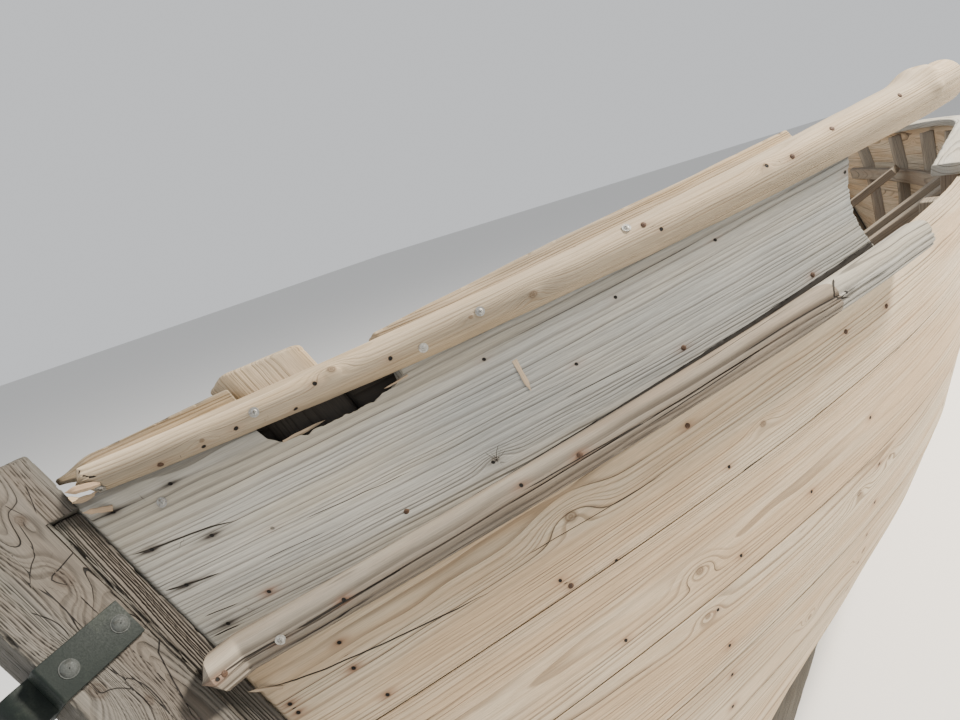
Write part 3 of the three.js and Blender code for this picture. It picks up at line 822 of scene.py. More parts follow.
STRAP_IRON = worn_metal("blackened strap iron", (0.008, 0.013, 0.0105), (0.02, 0.026, 0.02), 0.05, 0.55,
                        pits=0.0002, gloss=0.3)
SCREW_STEEL = worn_metal("weathered screw steel", (0.42, 0.41, 0.38), (0.24, 0.20, 0.16), 0.7, 0.45,
                         patch=160.0)
NAIL_IRON = worn_metal("rusted nail iron", (0.10, 0.055, 0.032), (0.05, 0.035, 0.028), 0.3, 0.75, patch=200.0)
BOLT_IRON = worn_metal("grey bolt iron", (0.055, 0.06, 0.057), (0.03, 0.032, 0.028), 0.1, 0.6, patch=120.0,
                       gloss=0.3)
print("materials:", len(bpy.data.materials))


def face_middles(piece):
    """The middle of each face, in the hull's own frame."""
    return to_hull(np.array([face.center for face in piece.data.polygons]))


def dressed(piece, node, slot, material):
    """Gives a piece its finish, hangs it under the root, and hides the node it stands for, if any."""
    piece.data.materials.clear()
    piece.data.materials.append(material)
    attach(piece, "root")
    if node:
        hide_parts(node)
    return piece


# %% [markdown]
# ## Planking
#
# Seven planks a side are laid edge to edge from the keel to the sheer. The starboard quarter is close to
# the camera, so its planks get many more sections there, and every piece's pith lies somewhere else, as
# each board came from another part of a tree.

# %% Stations and nail rows
FRAME_COUNT = 10
FRAMES = np.linspace(0.1, 0.88, FRAME_COUNT)
FRAME_SIDING = 0.0085
CLOSE_END = 0.3


def hull_stations(start, stop, close):
    """Places along the hull, crowded near the camera."""
    near = np.linspace(start, min(stop, CLOSE_END), 420 if close else 60, endpoint=stop <= CLOSE_END)
    far = np.linspace(CLOSE_END, stop, 110) if stop > CLOSE_END else np.array([])
    return np.concatenate([near, far])


def plank_place(k, side):
    """How a plank's loft turns its own coordinates into hull points."""
    def place(u, v, d):
        return on_hull(u, skin(k, v, d * PLANK, u), side)
    return place


def plank_sizes(k):
    return lambda u: (plank_width(k, u), PLANK)


def length_at(k, u):
    """Distance along the middle of a plank from its after end."""
    fine = np.linspace(0, 1, 1201)
    return np.interp(u, fine, run_of(on_hull(fine, skin(k, 0.5, PLANK / 2, fine), 1)))


def nail_rows(k, seed, rows=FRAMES):
    """Two nails through each plank into each frame, none quite in line."""
    random = np.random.default_rng(seed)
    found = []
    for u in rows:
        for height in (-0.28, 0.27):
            at = length_at(k, u) + random.uniform(-0.006, 0.006)
            aside = (height + random.uniform(-0.05, 0.05)) * plank_width(k, u)
            found.append((at, aside, random.uniform(0.3, 0.9)))
    return found


CLOSE_LOOP = section_loop((52, 3), 0.0018)
FAR_LOOP = section_loop((12, 1), 0.0018, 2)

# %% [markdown]
# The picture shows where the near planks' nails have rusted, where knots lie and where the wood has split.
# Each is given as a place in the picture and a strength.

# %% Marks on the near planks
SHEER_RUST = [(339, 644, 1.0), (354, 667, 1.0), (387, 695, 0.9), (289, 705, 0.9), (298, 714, 0.9),
              (572, 586, 0.5), (688, 425, 0.7), (729, 467, 0.5), (560, 580, 0.5), (846, 331, 0.6),
              (886, 306, 0.7), (640, 598, 0.4)]
SHEER_KNOTS = [(570, 517, 0.012), (762, 424, 0.007)]
SHEER_SPLITS = [(0.7, [(249, 698), (282, 686), (340, 662), (420, 626), (500, 588)]),
                (0.35, [(520, 560), (600, 512), (670, 470)]),
                (0.9, [(744, 476), (756, 470), (763, 474), (775, 466)]),
                (0.8, [(757, 470), (756, 482), (762, 493)])]
SIDE_RUST = [(625, 640, 0.5), (742, 556, 0.5), (812, 492, 0.6), (870, 418, 0.5)]
SIDE_KNOTS = [(700, 570, 0.009)]
NEAR_MARKS = {6: {"seen_nails": SHEER_RUST, "seen_knots": SHEER_KNOTS, "scars": SHEER_SPLITS},
              5: {"seen_nails": SIDE_RUST, "seen_knots": SIDE_KNOTS}}
NEAR_NAILS_STOP = 3

# %% Seven planks on each side
for side_name, side in SIDES:
    for k, strake in enumerate(STRAKES):
        close = side < 0 and k > 2
        seed = 11 * k + (3 if side < 0 else 50)
        random = np.random.default_rng(seed)
        shrink = SEAM_GAP / 2 / plank_width(k, MIDDLE)

        def inside_seams(u, v, d, shrink=shrink):
            return u, shrink + (1 - 2 * shrink) * v, d

        traced = NEAR_MARKS.get(k, {}) if side < 0 else {}
        rows = FRAMES[NEAR_NAILS_STOP:] if traced else FRAMES
        first_knot = 1.6 if traced else 0
        knots = [(random.uniform(first_knot, 5.4), random.uniform(-0.05, 0.05), random.uniform(0.005, 0.009))
                 for _ in range(6)]
        pith = (random.uniform(-0.09, 0.09), random.uniform(0.04, 0.09))
        piece = timber(f"{strake}_{side_name}_board", plank_place(k, side), hull_stations(0, 1, close),
                       plank_sizes(k), CLOSE_LOOP if close else FAR_LOOP, pith=pith, seed=seed,
                       shape=inside_seams, nails=nail_rows(k, seed, rows), knots=knots,
                       spacing=SPACING["planking"], dirt=0.3, **traced)
        dressed(piece, f"{strake}_{side_name}", "planking", PLANKING)
print("planks:", len(STRAKES) * 2)

# %% [markdown]
# ## The raised wash strake
#
# Over the after quarter a last board keeps the spray out. Its fore end is sawn to a hollow curve, and its
# upper edge has broken away under the rail pole, which leaves a dark gap. Its hard rings stand up as
# ridges, which are real relief in the mesh here, because the light falls along them.

# %% Finding a place on the wash strake
WASH_FOOT = 0.2
WASH_HEAD = 0.198
WASH_HOLLOW = 0.006
TUCK = 0.0105
wash_shrink = SEAM_GAP / 2 / (SEAMS[SHEER + 1, 2] - SEAMS[SHEER, 2])
search_u, search_v = np.meshgrid(np.linspace(0, 0.21, 841), np.linspace(-0.1, 1.1, 241), indexing="ij")
searched = pixel(on_hull(search_u, skin(SHEER, search_v, 0 * search_u, search_u), -1))


def on_wash(spot):
    """The (u, v) of the wash strake's outer face that shows at a place in the picture."""
    at = np.hypot(*(searched - spot).transpose(2, 0, 1)).argmin()
    return search_u.ravel()[at], search_v.ravel()[at]


NOTCH = [(268, 440), (276, 441), (285, 443), (297, 437), (310, 433), (322, 426), (335, 421), (348, 414),
         (362, 407), (377, 398), (389, 388), (396, 381), (404, 373)]
notch_u, notch_v = np.array([on_wash(spot) for spot in NOTCH]).T
print("notch from u", round(float(notch_u[0]), 4), "to", round(float(notch_u[-1]), 4))


# %% Wash strakes
def wash_shape(seed):
    def shape(u, v, d):
        share = u / (WASH_HEAD - WASH_HOLLOW)
        top = 1 - wash_shrink + TUCK / plank_width(SHEER, u)
        broken = np.interp(u, notch_u, notch_v, left=9.0, right=9.0)
        broken = broken + 0.012 * ripple(u / 0.0021, 0, 0, seed) + 0.012 * ripple(u / 0.0008, 0, 0, seed + 1)
        below_break = np.maximum(broken, wash_shrink) + 0.01 * (v - 1)
        v_clear = np.minimum(wash_shrink + (top - wash_shrink) * v, below_break)
        ragged = 0.0006 * ripple(v / 0.07, d, 0, seed + 2) + 0.0005 * ripple(v / 0.02, d, 0, seed + 3)
        hollow = WASH_HOLLOW * np.sin(np.pi * np.clip(v, 0, 1))
        end = WASH_FOOT + (WASH_HEAD - WASH_FOOT) * v - hollow - abs(ragged)
        near_end = np.clip((share - 0.9) / 0.1, 0, 1)
        return u * (1 - near_end) + (end * share) * near_end, v_clear, d
    return shape


def grey_band(points):
    """A smooth grey stretch along the near wash strake, where hands and ropes have rubbed it."""
    right, down = np.moveaxis(pixel(points), -1, 0)
    middle = np.interp(right, [340, 520, 640, 760, 860], [492, 405, 345, 272, 205])
    half = np.interp(right, [340, 520, 860], [34, 62, 70])
    apart = abs(down - middle) / half
    return 0.85 * (1 - smooth(apart, 0.45, 1.15)) * smooth(right, 360, 480) * (1 - smooth(right, 840, 900))


WASH_STAINS = [(152, 549, -1.0), (211, 535, -0.9), (187, 585, -0.9), (229, 624, -0.7), (171, 484, -0.6),
               (114, 511, -0.8), (270, 592, 0.9), (484, 360, 0.2), (576, 365, 0.3), (615, 298, 0.2),
               (683, 348, 0.4), (813, 275, 0.5), (493, 462, -0.35), (272, 529, 0.15), (716, 240, 0.2),
               (845, 172, 0.3)]
WASH_KNOTS = [(496, 458, 0.006)]
WASH_SPLITS = [(0.9, [(128, 556), (155, 548), (201, 530), (242, 518)]),
               (0.9, [(164, 592), (187, 585), (224, 571)]), (0.5, [(203, 617), (240, 602)]),
               (0.6, [(214, 637), (241, 623)]), (0.25, [(484, 452), (492, 457), (501, 463), (508, 462)]),
               (0.22, [(499, 443), (496, 452), (498, 466)]), (0.2, [(506, 450), (501, 455), (491, 464)]),
               (0.35, [(300, 520), (420, 466)]), (0.35, [(560, 400), (660, 351)]),
               (0.3, [(262, 560), (330, 529)])]
WASH_MARKS = {
    "starboard": {"seed": 91, "seen_nails": WASH_STAINS, "seen_knots": WASH_KNOTS, "scars": WASH_SPLITS,
                  "relief": 0.0007, "stain": grey_band},
    "port": {"seed": 92, "nails": nail_rows(SHEER, 77, FRAMES[:2])},
}
for side_name, side in SIDES:
    near = side < 0
    loop = section_loop((96, 3), 0.002) if near else section_loop((24, 2), 0.002, 2)
    stations = hull_stations(0, WASH_HEAD - WASH_HOLLOW, near)
    piece = timber(f"wash_strake_{side_name}_board", plank_place(SHEER, side), stations, plank_sizes(SHEER),
                   loop, pith=(0.16, 0.10), shape=wash_shape(71), spacing=SPACING["wash"], wander=0.02,
                   wear=0.0008, dirt=0.4, **WASH_MARKS[side_name])
    dressed(piece, f"wash_strake_{side_name}", "wash", WASH)
print("wash strakes: 2")

# %% [markdown]
# ## Pole rails
#
# The rails are small trees with the bark peeled off. A pole swells at its knots, wanders a little off line,
# has split as it dried, and has worn ends. Each one is a row of rings along the hull. Its grain runs along
# it, so each point stores how far it is along the pole and round it, as if the skin were unrolled into a
# board.

# %% Poles along the rail
TOP_POLE = {"start": 0.003, "end": 0.285}
LOWER_POLE = {"start": -0.0103, "end": 0.2105}
TOP_RADIUS = [0.0245, 0.046]
TOP_OUTWARD = 0.010
TOP_SHORT = 0.014
TOP_ABOVE = 0.0035
LOWER_RADIUS = 0.029
PEELED_FROM = 0.70
POLE_PITH = (0.0, 0.04)
SQUARENESS = 3.5
FURROW_WIDTH = 0.0022
FURROW_DEPTH = 0.0008
RAGGED_REACH = 0.02
SLANT_REACH = 0.15


def top_radius(u):
    return np.interp(u, [TOP_POLE["start"], TOP_POLE["end"]], TOP_RADIUS)


def over_edge(u, outward, up, side):
    """A point over the wash strake's upper edge, from how far outward and how far up it is."""
    return on_hull(u, seam(SHEER + 1, u) + np.stack(np.broadcast_arrays(outward, up), -1), side)


def top_centre(u, side):
    return over_edge(u, TOP_OUTWARD + 0 * u, top_radius(u) + TOP_ABOVE, side)


def lower_centre(u, side):
    return on_hull(u, seam(SHEER, u) - mitre(SHEER, np.maximum(u, 0)) * LOWER_RADIUS * 1.12, side)


def lower_radius(u):
    return LOWER_RADIUS + 0 * u


def pole(name, centre, radius, u, side, around, seed, ends, swell, ragged, slant, spacing=SPACING["pole"],
         relief=0.0, grooved=0.0, squared=0.0, knots=(), bumps=(), seen_nails=(), splits=()):
    """A peeled pole. Knots, nails, bumps and splits are places in the picture, with a strength or size."""
    line = centre(u, side)
    length = run_of(line)
    from_seam = np.linspace(0, 2 * math.pi, around, endpoint=False)
    unrolled_from = -0.25 * math.pi if side < 0 else -0.75 * math.pi
    far, round_it = np.meshgrid(length, from_seam, indexing="ij")
    turn = unrolled_from - side * round_it
    outward = np.stack([0 * turn, np.cos(turn), np.sin(turn)], -1)
    base = radius(u)[:, None]
    size = base * (1 + swell * ripple(far / 0.22, np.cos(turn) * 0.9, np.sin(turn) * 0.9, seed)
                   + 0.35 * swell * ripple(far / 0.045, np.cos(turn) * 2, np.sin(turn) * 2, seed + 1))
    wood = np.stack([far, (round_it - math.pi) * base, 0 * far], -1)
    points = line[:, None] + size[..., None] * outward
    seen = (outward * (CAMERA_PLACE - points)).sum(-1) > 0
    knots = place_marks(points, seen, wood, knots)
    nails = place_marks(points, seen, wood, seen_nails)
    cracks = place_scars(points, seen, wood, splits)
    for at, height, strength in knots + place_marks(points, seen, wood, bumps):
        size = size + 0.45 * strength * np.exp(-((wood[..., 0] - at) / (0.7 * strength + 0.009))**2
                                               - ((wood[..., 1] - height) / (0.6 * strength + 0.005))**2)
    flank = seam(SHEER, 0.1) - seam(SHEER - 1, 0.1)
    lean = turn - math.atan2(flank[1], side * flank[0])
    square = (abs(np.cos(lean))**SQUARENESS + abs(np.sin(lean))**SQUARENESS)**(-1 / SQUARENESS)
    size = size * (1 + squared * (square - 1))
    own = seed * OWN_STEP
    bend = grain_bend(wood, own, 0.012, 0.0012, knots)
    valley = ring_valley(wood, bend, POLE_PITH, own, spacing)
    # downward is 1 on the underside, where painted shade darkens the pole.
    downward = smooth(-np.sin(turn), -0.2, 0.6)
    scars = scars_near(wood, seen, cracks)
    furrow = FURROW_DEPTH * np.exp(-(scars[..., 0] / FURROW_WIDTH)**2) * scars[..., 1]
    size = size - relief * valley - grooved * valley * smooth(-np.sin(turn), -0.1, 0.35) - furrow
    edge = np.minimum(far, length[-1] - far)
    share = np.where(far < length[-1] / 2, ends[0], ends[1])
    roundness = 1 - np.clip(1 - edge / (base * share), 0, 1)
    size = size * np.sqrt(np.clip(1 - (1 - roundness)**2, 0.02, 1))
    points = line[:, None] + size[..., None] * outward
    broken = abs(ripple(round_it * 3.1, 0, 0, seed + 4)) + 0.6 * abs(ripple(round_it * 9.0, 0, 0, seed + 5))
    pulled = ragged[0] * broken * np.exp(-far / RAGGED_REACH)
    pulled = pulled - ragged[1] * broken * np.exp(-(length[-1] - far) / RAGGED_REACH)
    inboard = 0.5 - 0.5 * side * np.cos(turn)
    points[..., 0] += pulled + (slant[0] + (slant[1] - slant[0]) * inboard) * np.exp(-far / SLANT_REACH)
    # The stored darkening is painted shade on the underside, partly greyer weathered wood there too, with
    # random grey patches all round.
    shade = 0.75 * downward * (0.7 + 0.3 * ripple(far / 0.1, turn, 0, seed + 6)) + 0.25 * smooth(
        ripple(far / 0.25, turn * 0.8, 3, seed), 0, 0.8)
    return board_mesh(name, points, wood, [*POLE_PITH, own], bend, shade,
                      marks_near(wood, seen, nails, NAIL_REACH), marks_near(wood, seen, knots, KNOT_REACH),
                      scars)


def pole_stations(start, stop, count):
    """Even places with a few more close to each end, where the pole is rounded off."""
    even = np.linspace(start, stop, count)
    step = (stop - start) * 0.004
    extra = step * np.array([0.05, 0.2, 0.5, 0.9, 1.5, 2.4])
    return np.sort(np.concatenate([even, start + extra, stop - extra]))


# %% [markdown]
# The top pole shows knots, a line of old nail holes and screws in washers. Its after end has split and broken
# into splinters, and its fore end is a rounded knob. The lower pole is squarer, with a long split, and the
# weather has silvered its fore end. Both after ends are cut square to the pole, which a slant along it gives.

# %% Top and lower poles
TOP_KNOTS = [(331, 371, 0.007), (531, 295, 0.008), (470, 318, 0.004), (765, 166, 0.005), (203, 440, 0.004)]
TOP_BUMPS = [(906, 78, 0.03), (925, 72, 0.026), (938, 86, 0.014)]
TOP_HOLES = [(203, 446, 0.2), (238, 428, 0.3), (315, 383, 0.35), (297, 409, 0.2), (391, 358, 0.3),
             (573, 247, 0.3), (660, 229, 0.2), (765, 167, 0.2), (162, 464, 0.4), (643, 225, 0.4),
             (792, 157, 0.5), (832, 128, 0.4)]
TOP_SPLITS = [(1.8, [(56, 490), (70, 485), (93, 475), (110, 470)]),
              (1.6, [(80, 492), (97, 500), (114, 500)]), (1.4, [(78, 511), (98, 500)])]
LOWER_SPLITS = [(1.3, [(302, 627), (330, 610), (350, 597)]),
                (0.9, [(833, 280), (832, 289), (835, 299), (850, 297)]),
                (0.9, [(199, 685), (225, 672), (300, 628), (345, 601), (400, 570)]),
                (0.6, [(520, 493), (640, 424)]), (0.5, [(640, 430), (760, 351)]),
                (0.4, [(690, 372), (800, 301)])]
LOWER_MARKS = [(281, 640, 0.4), (580, 455, 0.8), (224, 674, 0.7), (345, 598, 0.8), (520, 486, 0.5),
               (846, 292, -0.9), (842, 295, 0.3)]
TOP_TRACED = {"knots": TOP_KNOTS, "bumps": TOP_BUMPS, "seen_nails": TOP_HOLES, "splits": TOP_SPLITS}
LOWER_TRACED = {"seen_nails": LOWER_MARKS, "splits": LOWER_SPLITS}
for side_name, side in SIDES:
    near = side < 0
    count, around = (460, 96) if near else (140, 32)
    u = pole_stations(TOP_POLE["start"], TOP_POLE["end"] - TOP_SHORT, count)
    piece = pole(f"top_pole_{side_name}_rail", top_centre, top_radius, u, side, around, seed=5 + side,
                 ends=(0.2, 1.1), swell=0.04, ragged=(0.012, 0.004), slant=(-0.014, 0.030), relief=0.0003,
                 **(TOP_TRACED if near else {}))
    dressed(piece, f"top_pole_{side_name}", "pole", POLE)
    u = pole_stations(LOWER_POLE["start"], LOWER_POLE["end"], count)
    piece = pole(f"lower_pole_{side_name}_rail", lower_centre, lower_radius, u, side, around, seed=15 + side,
                 ends=(0.16, 0.12), swell=0.02, ragged=(0.003, 0.006), slant=(-0.014, 0.042),
                 spacing=SPACING["batten"], grooved=0.0024, squared=0.8, **(LOWER_TRACED if near else {}))
    dressed(piece, f"lower_pole_{side_name}", "wash", BATTEN)
    piece.data.materials.append(WASH)
    piece.data.polygons.foreach_set("material_index", (face_middles(piece)[:, 0] > PEELED_FROM).astype(int))
print("poles: 4")

# %% [markdown]
# ## Battens behind the top pole
#
# A flat batten stands on edge on the top pole's inner shoulder, in two lengths. The after one ends in a
# splintered point and the fore one starts at a blunt cut and grows thicker. They are sawn pieces, so the
# loft makes them.

# %% Inner rails
BATTEN_NEAR = 0.015
BATTEN_FAR = 0.037
BATTEN_GAP = 0.002
BATTEN_TIP = 0.014
BATTEN_AFT = (0.002, 0.0375)
BATTEN_FORE = (0.0675, 0.19)
BATTEN_TOP = np.array([[0, 74], [0.0375, 93], [0.0675, 84], [0.085, 95], [0.113, 105], [0.19, 108]]) * [1, MM]


def batten_foot(u):
    radius = top_radius(u) * 1.08
    shoulder = np.sqrt(radius**2 - (BATTEN_NEAR + TOP_OUTWARD)**2)
    rise = BATTEN_TIP * np.interp(u, [BATTEN_FORE[0], 0.085], [1, 0], left=0)
    return top_radius(u) + TOP_ABOVE + shoulder + BATTEN_GAP + rise


def batten(node, ends, side, seed, point):
    """A batten on edge, with s from its foot to its top and d from its outer to its inner face."""
    def place(u, s, d):
        foot, head = batten_foot(u), np.interp(u, *BATTEN_TOP.T)
        sharp = 1 - point * (1 - smooth(u, ends[0], ends[0] + 0.008))
        thin = 1 - 0.6 * point * (1 - smooth(u, ends[0], ends[0] + 0.006))
        up = (foot + head) / 2 + (np.asarray(s) - 0.5) * (head - foot) * sharp
        middle = (BATTEN_NEAR + BATTEN_FAR) / 2
        inward = middle + (np.asarray(d) - 0.5) * (BATTEN_FAR - BATTEN_NEAR) * thin
        return over_edge(u, -inward, up, side)

    def sizes(u):
        return np.interp(u, *BATTEN_TOP.T) - batten_foot(u), BATTEN_FAR - BATTEN_NEAR

    near = side < 0
    stations = np.linspace(*ends, 260 if near else 70)
    loop = section_loop((14, 10) if near else (6, 4), 0.004)
    piece = timber(f"{node}_batten", place, stations, sizes, loop, pith=(0.05, 0.05), seed=seed, wear=0.0012,
                   chips=0.004, waves=(0.12, 0.02), end_radius=0.004, spacing=SPACING["pole"], wander=0.01,
                   relief=0.0004, dirt=0.9 if point else 0.4)
    return dressed(piece, node, "pole", POLE)


for side_name, side in SIDES:
    batten(f"inner_rail_aft_{side_name}", BATTEN_AFT, side, 26 + 2 * side, 0.75)
    batten(f"inner_rail_fore_{side_name}", BATTEN_FORE, side, 37 + 2 * side, 0.0)
print("battens: 4")

# %% [markdown]
# Behind the broken stretch of the wash strake's edge lies a black block under the top pole, in two lengths
# that butt against the timberhead. Its black is painted shade, so the notch shows dark.
# A thin strip of the same black lies under the lower pole, and its edge is a painted shadow line along both
# sides of it.

# %% Packing and bedding in painted shade
TIMBERHEAD_AT = 0.0472
TIMBERHEAD_SIDING = 0.0175
SHADE_PACKING_REACH = 0.006
SHADE_PACKING = {"aft": (notch_u[0] - 2 * SHADE_PACKING_REACH, TIMBERHEAD_AT - TIMBERHEAD_SIDING / 2),
           "fore": (TIMBERHEAD_AT + TIMBERHEAD_SIDING / 2, notch_u[-1] + SHADE_PACKING_REACH)}
SHADE_PACKING_DEEP = 0.05
SHADE_PACKING_THICK = 0.02
SHADE_BEDDING = {"below": -0.026, "above": 0.030, "thickness": 0.0032}

for side_name, side in SIDES:
    for end_name, ends in SHADE_PACKING.items():
        def shade_packing_place(u, s, d, side=side):
            inward = np.maximum(PLANK + 0.001, top_radius(u) * 1.06 - TOP_OUTWARD)
            up = top_radius(u) * 1.1 * s - SHADE_PACKING_DEEP * (1 - s)
            return over_edge(u, -(inward + SHADE_PACKING_THICK * d), up, side)

        def shade_packing_sizes(u):
            return SHADE_PACKING_DEEP + top_radius(u) * 1.1, SHADE_PACKING_THICK

        # A black block behind the notch: painted shade.
        piece = timber(f"rail_shade_packing_{end_name}_{side_name}", shade_packing_place, np.linspace(*ends, 80),
                       shade_packing_sizes, section_loop((10, 4), 0.003), seed=480 + side, wear=0.001,
                       chips=0.003, dirt=1.0)
        dressed(piece, None, "inside", SHADE_BLACK)

    def shade_bedding_place(u, s, d, side=side):
        off = SHADE_BEDDING["below"] + (SHADE_BEDDING["above"] - SHADE_BEDDING["below"]) * s
        depth = -SHADE_BEDDING["thickness"] * (1 - d)
        lower = skin(SHEER - 1, 1 + np.minimum(off, 0) / plank_width(SHEER - 1, u), depth, u)
        upper = skin(SHEER, np.maximum(off, 0) / plank_width(SHEER, u), depth, u)
        return on_hull(u, np.where(off[..., None] < 0, lower, upper), side)

    def shade_bedding_sizes(u):
        return SHADE_BEDDING["above"] - SHADE_BEDDING["below"], SHADE_BEDDING["thickness"]

    # A thin black strip along both sides of the lower pole: a painted shadow line in the creases.
    piece = timber(f"pole_shade_bedding_{side_name}", shade_bedding_place, np.linspace(0.004, 0.196, 260),
                   shade_bedding_sizes, section_loop((12, 1), 0.001), seed=490 + side, wear=0.0012, chips=0.004,
                   waves=(0.03, 0.02), dirt=1.0)
    dressed(piece, None, "inside", SHADE_BLACK)
print("packing and bedding pieces: 6")

# %% [markdown]
# ## The backbone
#
# Keel, posts, aprons and hog are heavy square timbers that everything else is fastened to. The posts are the
# most weathered pieces of the boat: their rings swirl round knots, and the soft wood has washed out by
# millimetres, so their faces get deep relief.

# %% Posts, strips and aprons
APRON_WIDTH = 0.075
POST_HEAD = 0.106
STEM_RISE = 0.1
STRIP_DROP = 0.006
APRON_DROP = 0.02
STEM_STRIP_DROP = 0.045
STEM_APRON_DROP = 0.08
stern_top = SEAMS[SHEER + 1, 2]
stern_head = stern_top + POST_HEAD
strip_head = stern_top - STRIP_DROP
stem_head = SEAMS[SHEER, 3] + STEM_RISE
POST_FOOT = KEEL_DEPTH + CLEARANCE
stem_strip = STRIP_WIDTH * STEM_SIDE
stem_front = stem_strip + CLEARANCE + POST_WIDTH * STEM_SIDE


def upright(node, line, near, far, half_at, foot, head, seed, material=BACKBONE, slot="backbone", wear=0.001,
            counts=(30, 16), stations=140, extra=(), shoulder=None, **marked):
    """A post or apron: a slab that follows a raked line. A shoulder says how far its front steps back."""
    def place(t, s, d):
        z = foot + (head - foot) * t
        run = (far - near) * s
        if shoulder:
            step = shoulder(z)
            run = run - step * np.clip((run - (far - near - STEP_BACK - 0.008)) / (STEP_BACK + 0.002), 0, 1)
        return np.stack([line(z) + near + run, half_at(z) * (2 * d - 1), z], -1)

    def sizes(t):
        return far - near, 2 * half_at(foot + (head - foot) * t)

    rows = np.sort(np.concatenate([np.linspace(0, 1, stations), [(z - foot) / (head - foot) for z in extra]]))
    piece = timber(node.removesuffix("_strip") + "_timber", place, rows, sizes, section_loop(counts, 0.005),
                   seed=seed, wear=wear, waves=(0.12, 0.02), chips=0.005, end_radius=0.006,
                   spacing=SPACING["backbone"], dirt=0.5, **{"pith": (0.02, 0.03), **marked})
    return dressed(piece, node, slot, material)


def post_half(z):
    return rebate_half(z) + 0.004


def strip_half(z):
    return rebate_half(z) - 0.003


def apron_half(z):
    return INNER_HALF + 0 * np.asarray(z)


STEP_BACK = -stern_strip


def stern_shoulder(z):
    """How far the sternpost's front steps back for the rebate strip, over which its head stands."""
    return np.interp(z, [strip_head + CLEARANCE, strip_head + 2 * CLEARANCE], [STEP_BACK, 0])


POST_KNOTS = [(62, 578, 0.016), (98, 690, 0.014), (20, 520, 0.010), (150, 700, 0.008)]
POST_SPLITS = [(0.4, [(16, 520), (37, 552), (30, 570), (31, 592)]),
               (0.5, [(64, 548), (62, 568), (50, 578), (59, 584), (82, 588)]),
               (0.55, [(36, 586), (56, 600), (69, 613), (80, 634)]),
               (0.45, [(28, 611), (50, 619), (62, 627), (72, 641)]), (0.45, [(80, 596), (100, 615)]),
               (0.6, [(140, 630), (155, 647), (168, 669), (179, 690), (196, 722)]),
               (0.4, [(129, 650), (147, 660), (162, 677), (176, 692)]),
               (0.45, [(102, 662), (119, 677), (138, 681), (155, 692), (172, 716)]),
               (0.45, [(89, 682), (99, 694), (112, 688), (131, 688), (142, 697), (157, 713)]),
               (0.35, [(24, 484), (38, 516)]), (0.7, [(97, 565), (116, 585), (160, 626), (200, 674)]),
               (0.3, [(4, 506), (24, 516)])]
IN_SHADE = {"material": INSIDE, "slot": "inside", "counts": (10, 4)}
upright("sternpost", stern_line, stern_back, -CLEARANCE, post_half, POST_FOOT, stern_head, 201, wear=0.0018,
        counts=(88, 16), stations=420, extra=(strip_head + CLEARANCE, strip_head + 2 * CLEARANCE),
        shoulder=stern_shoulder, swirl=0.007, wander=0.05, relief=0.0014, seen_knots=POST_KNOTS,
        scars=POST_SPLITS)
upright("sternpost_rebate_strip", stern_line, stern_strip, -CLEARANCE, strip_half, POST_FOOT, strip_head, 202,
        wear=0.0016, counts=(40, 10), stations=300, swirl=0.002, relief=0.0028, pith=(0.1, 0.02))
upright("stern_apron", stern_line, CLEARANCE, APRON_WIDTH, apron_half, HOG_TOP + CLEARANCE,
        stern_top - APRON_DROP, 203, **IN_SHADE)
upright("stem", stem_line, stem_strip + CLEARANCE, stem_front, post_half, POST_FOOT, stem_head, 204,
        wear=0.0018, swirl=0.008, relief=0.001)
upright("stem_rebate_strip", stem_line, CLEARANCE, stem_strip, strip_half, POST_FOOT,
        stem_head - STEM_STRIP_DROP, 205)
upright("bow_apron", stem_line, -APRON_WIDTH, -CLEARANCE, apron_half, HOG_TOP + CLEARANCE,
        stem_head - STEM_APRON_DROP, 206, **IN_SHADE)
print("posts, strips and aprons: 6")

# %% [markdown]
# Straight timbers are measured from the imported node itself. The same loft runs along their longest side.

# %% Keel, hog and thwarts
def straight(node, slot, material, seed, way=0, radius=0.003, wear=0.0008, counts=(14, 6), stations=90):
    """A worn block in the place of a packed one, with its grain along one axis of the hull."""
    low, high = hull_box(node)
    across, through = 1 - way, 2

    def place(t, s, d):
        point = np.zeros(np.shape(t) + (3,))
        point[..., way] = low[way] + (high[way] - low[way]) * t
        point[..., across] = low[across] + (high[across] - low[across]) * s
        point[..., through] = high[through] - (high[through] - low[through]) * d
        return point

    def sizes(t):
        return high[across] - low[across], high[through] - low[through]

    random = np.random.default_rng(seed)
    piece = timber(f"{node}_timber", place, np.linspace(0, 1, stations), sizes,
                   section_loop(counts, radius), seed=seed, wear=wear, chips=0.003,
                   pith=(random.uniform(-0.06, 0.06), random.uniform(0.03, 0.08)))
    return dressed(piece, node, slot, material)


straight("keel", "backbone", BACKBONE, 301, stations=260, wear=0.0012)
straight("hog", "inside", INSIDE, 302, counts=(4, 4))
for index, node in enumerate(["stern_thwart", "after_thwart", "mast_thwart_aft", "mast_thwart_fore",
                              "fore_thwart"]):
    straight(node, "inside", INSIDE, 310 + index, way=1, counts=(24, 4))
print("straight timbers: 7")

# %% [markdown]
# ## Frames
#
# Ten sawn frames cross the hog and follow the planking up both sides. Each is one loft from the starboard
# head to the port head, with a corner at each seam, because a sawn frame is bevelled to sit flat on every
# plank.

# %% Ten frames
FRAME_GAP = 0.001
FRAME_DEPTH = 0.048
FLOOR_DEPTH = 0.072
RAISED_HEAD = 0.66
SHEER_HEAD = 0.9


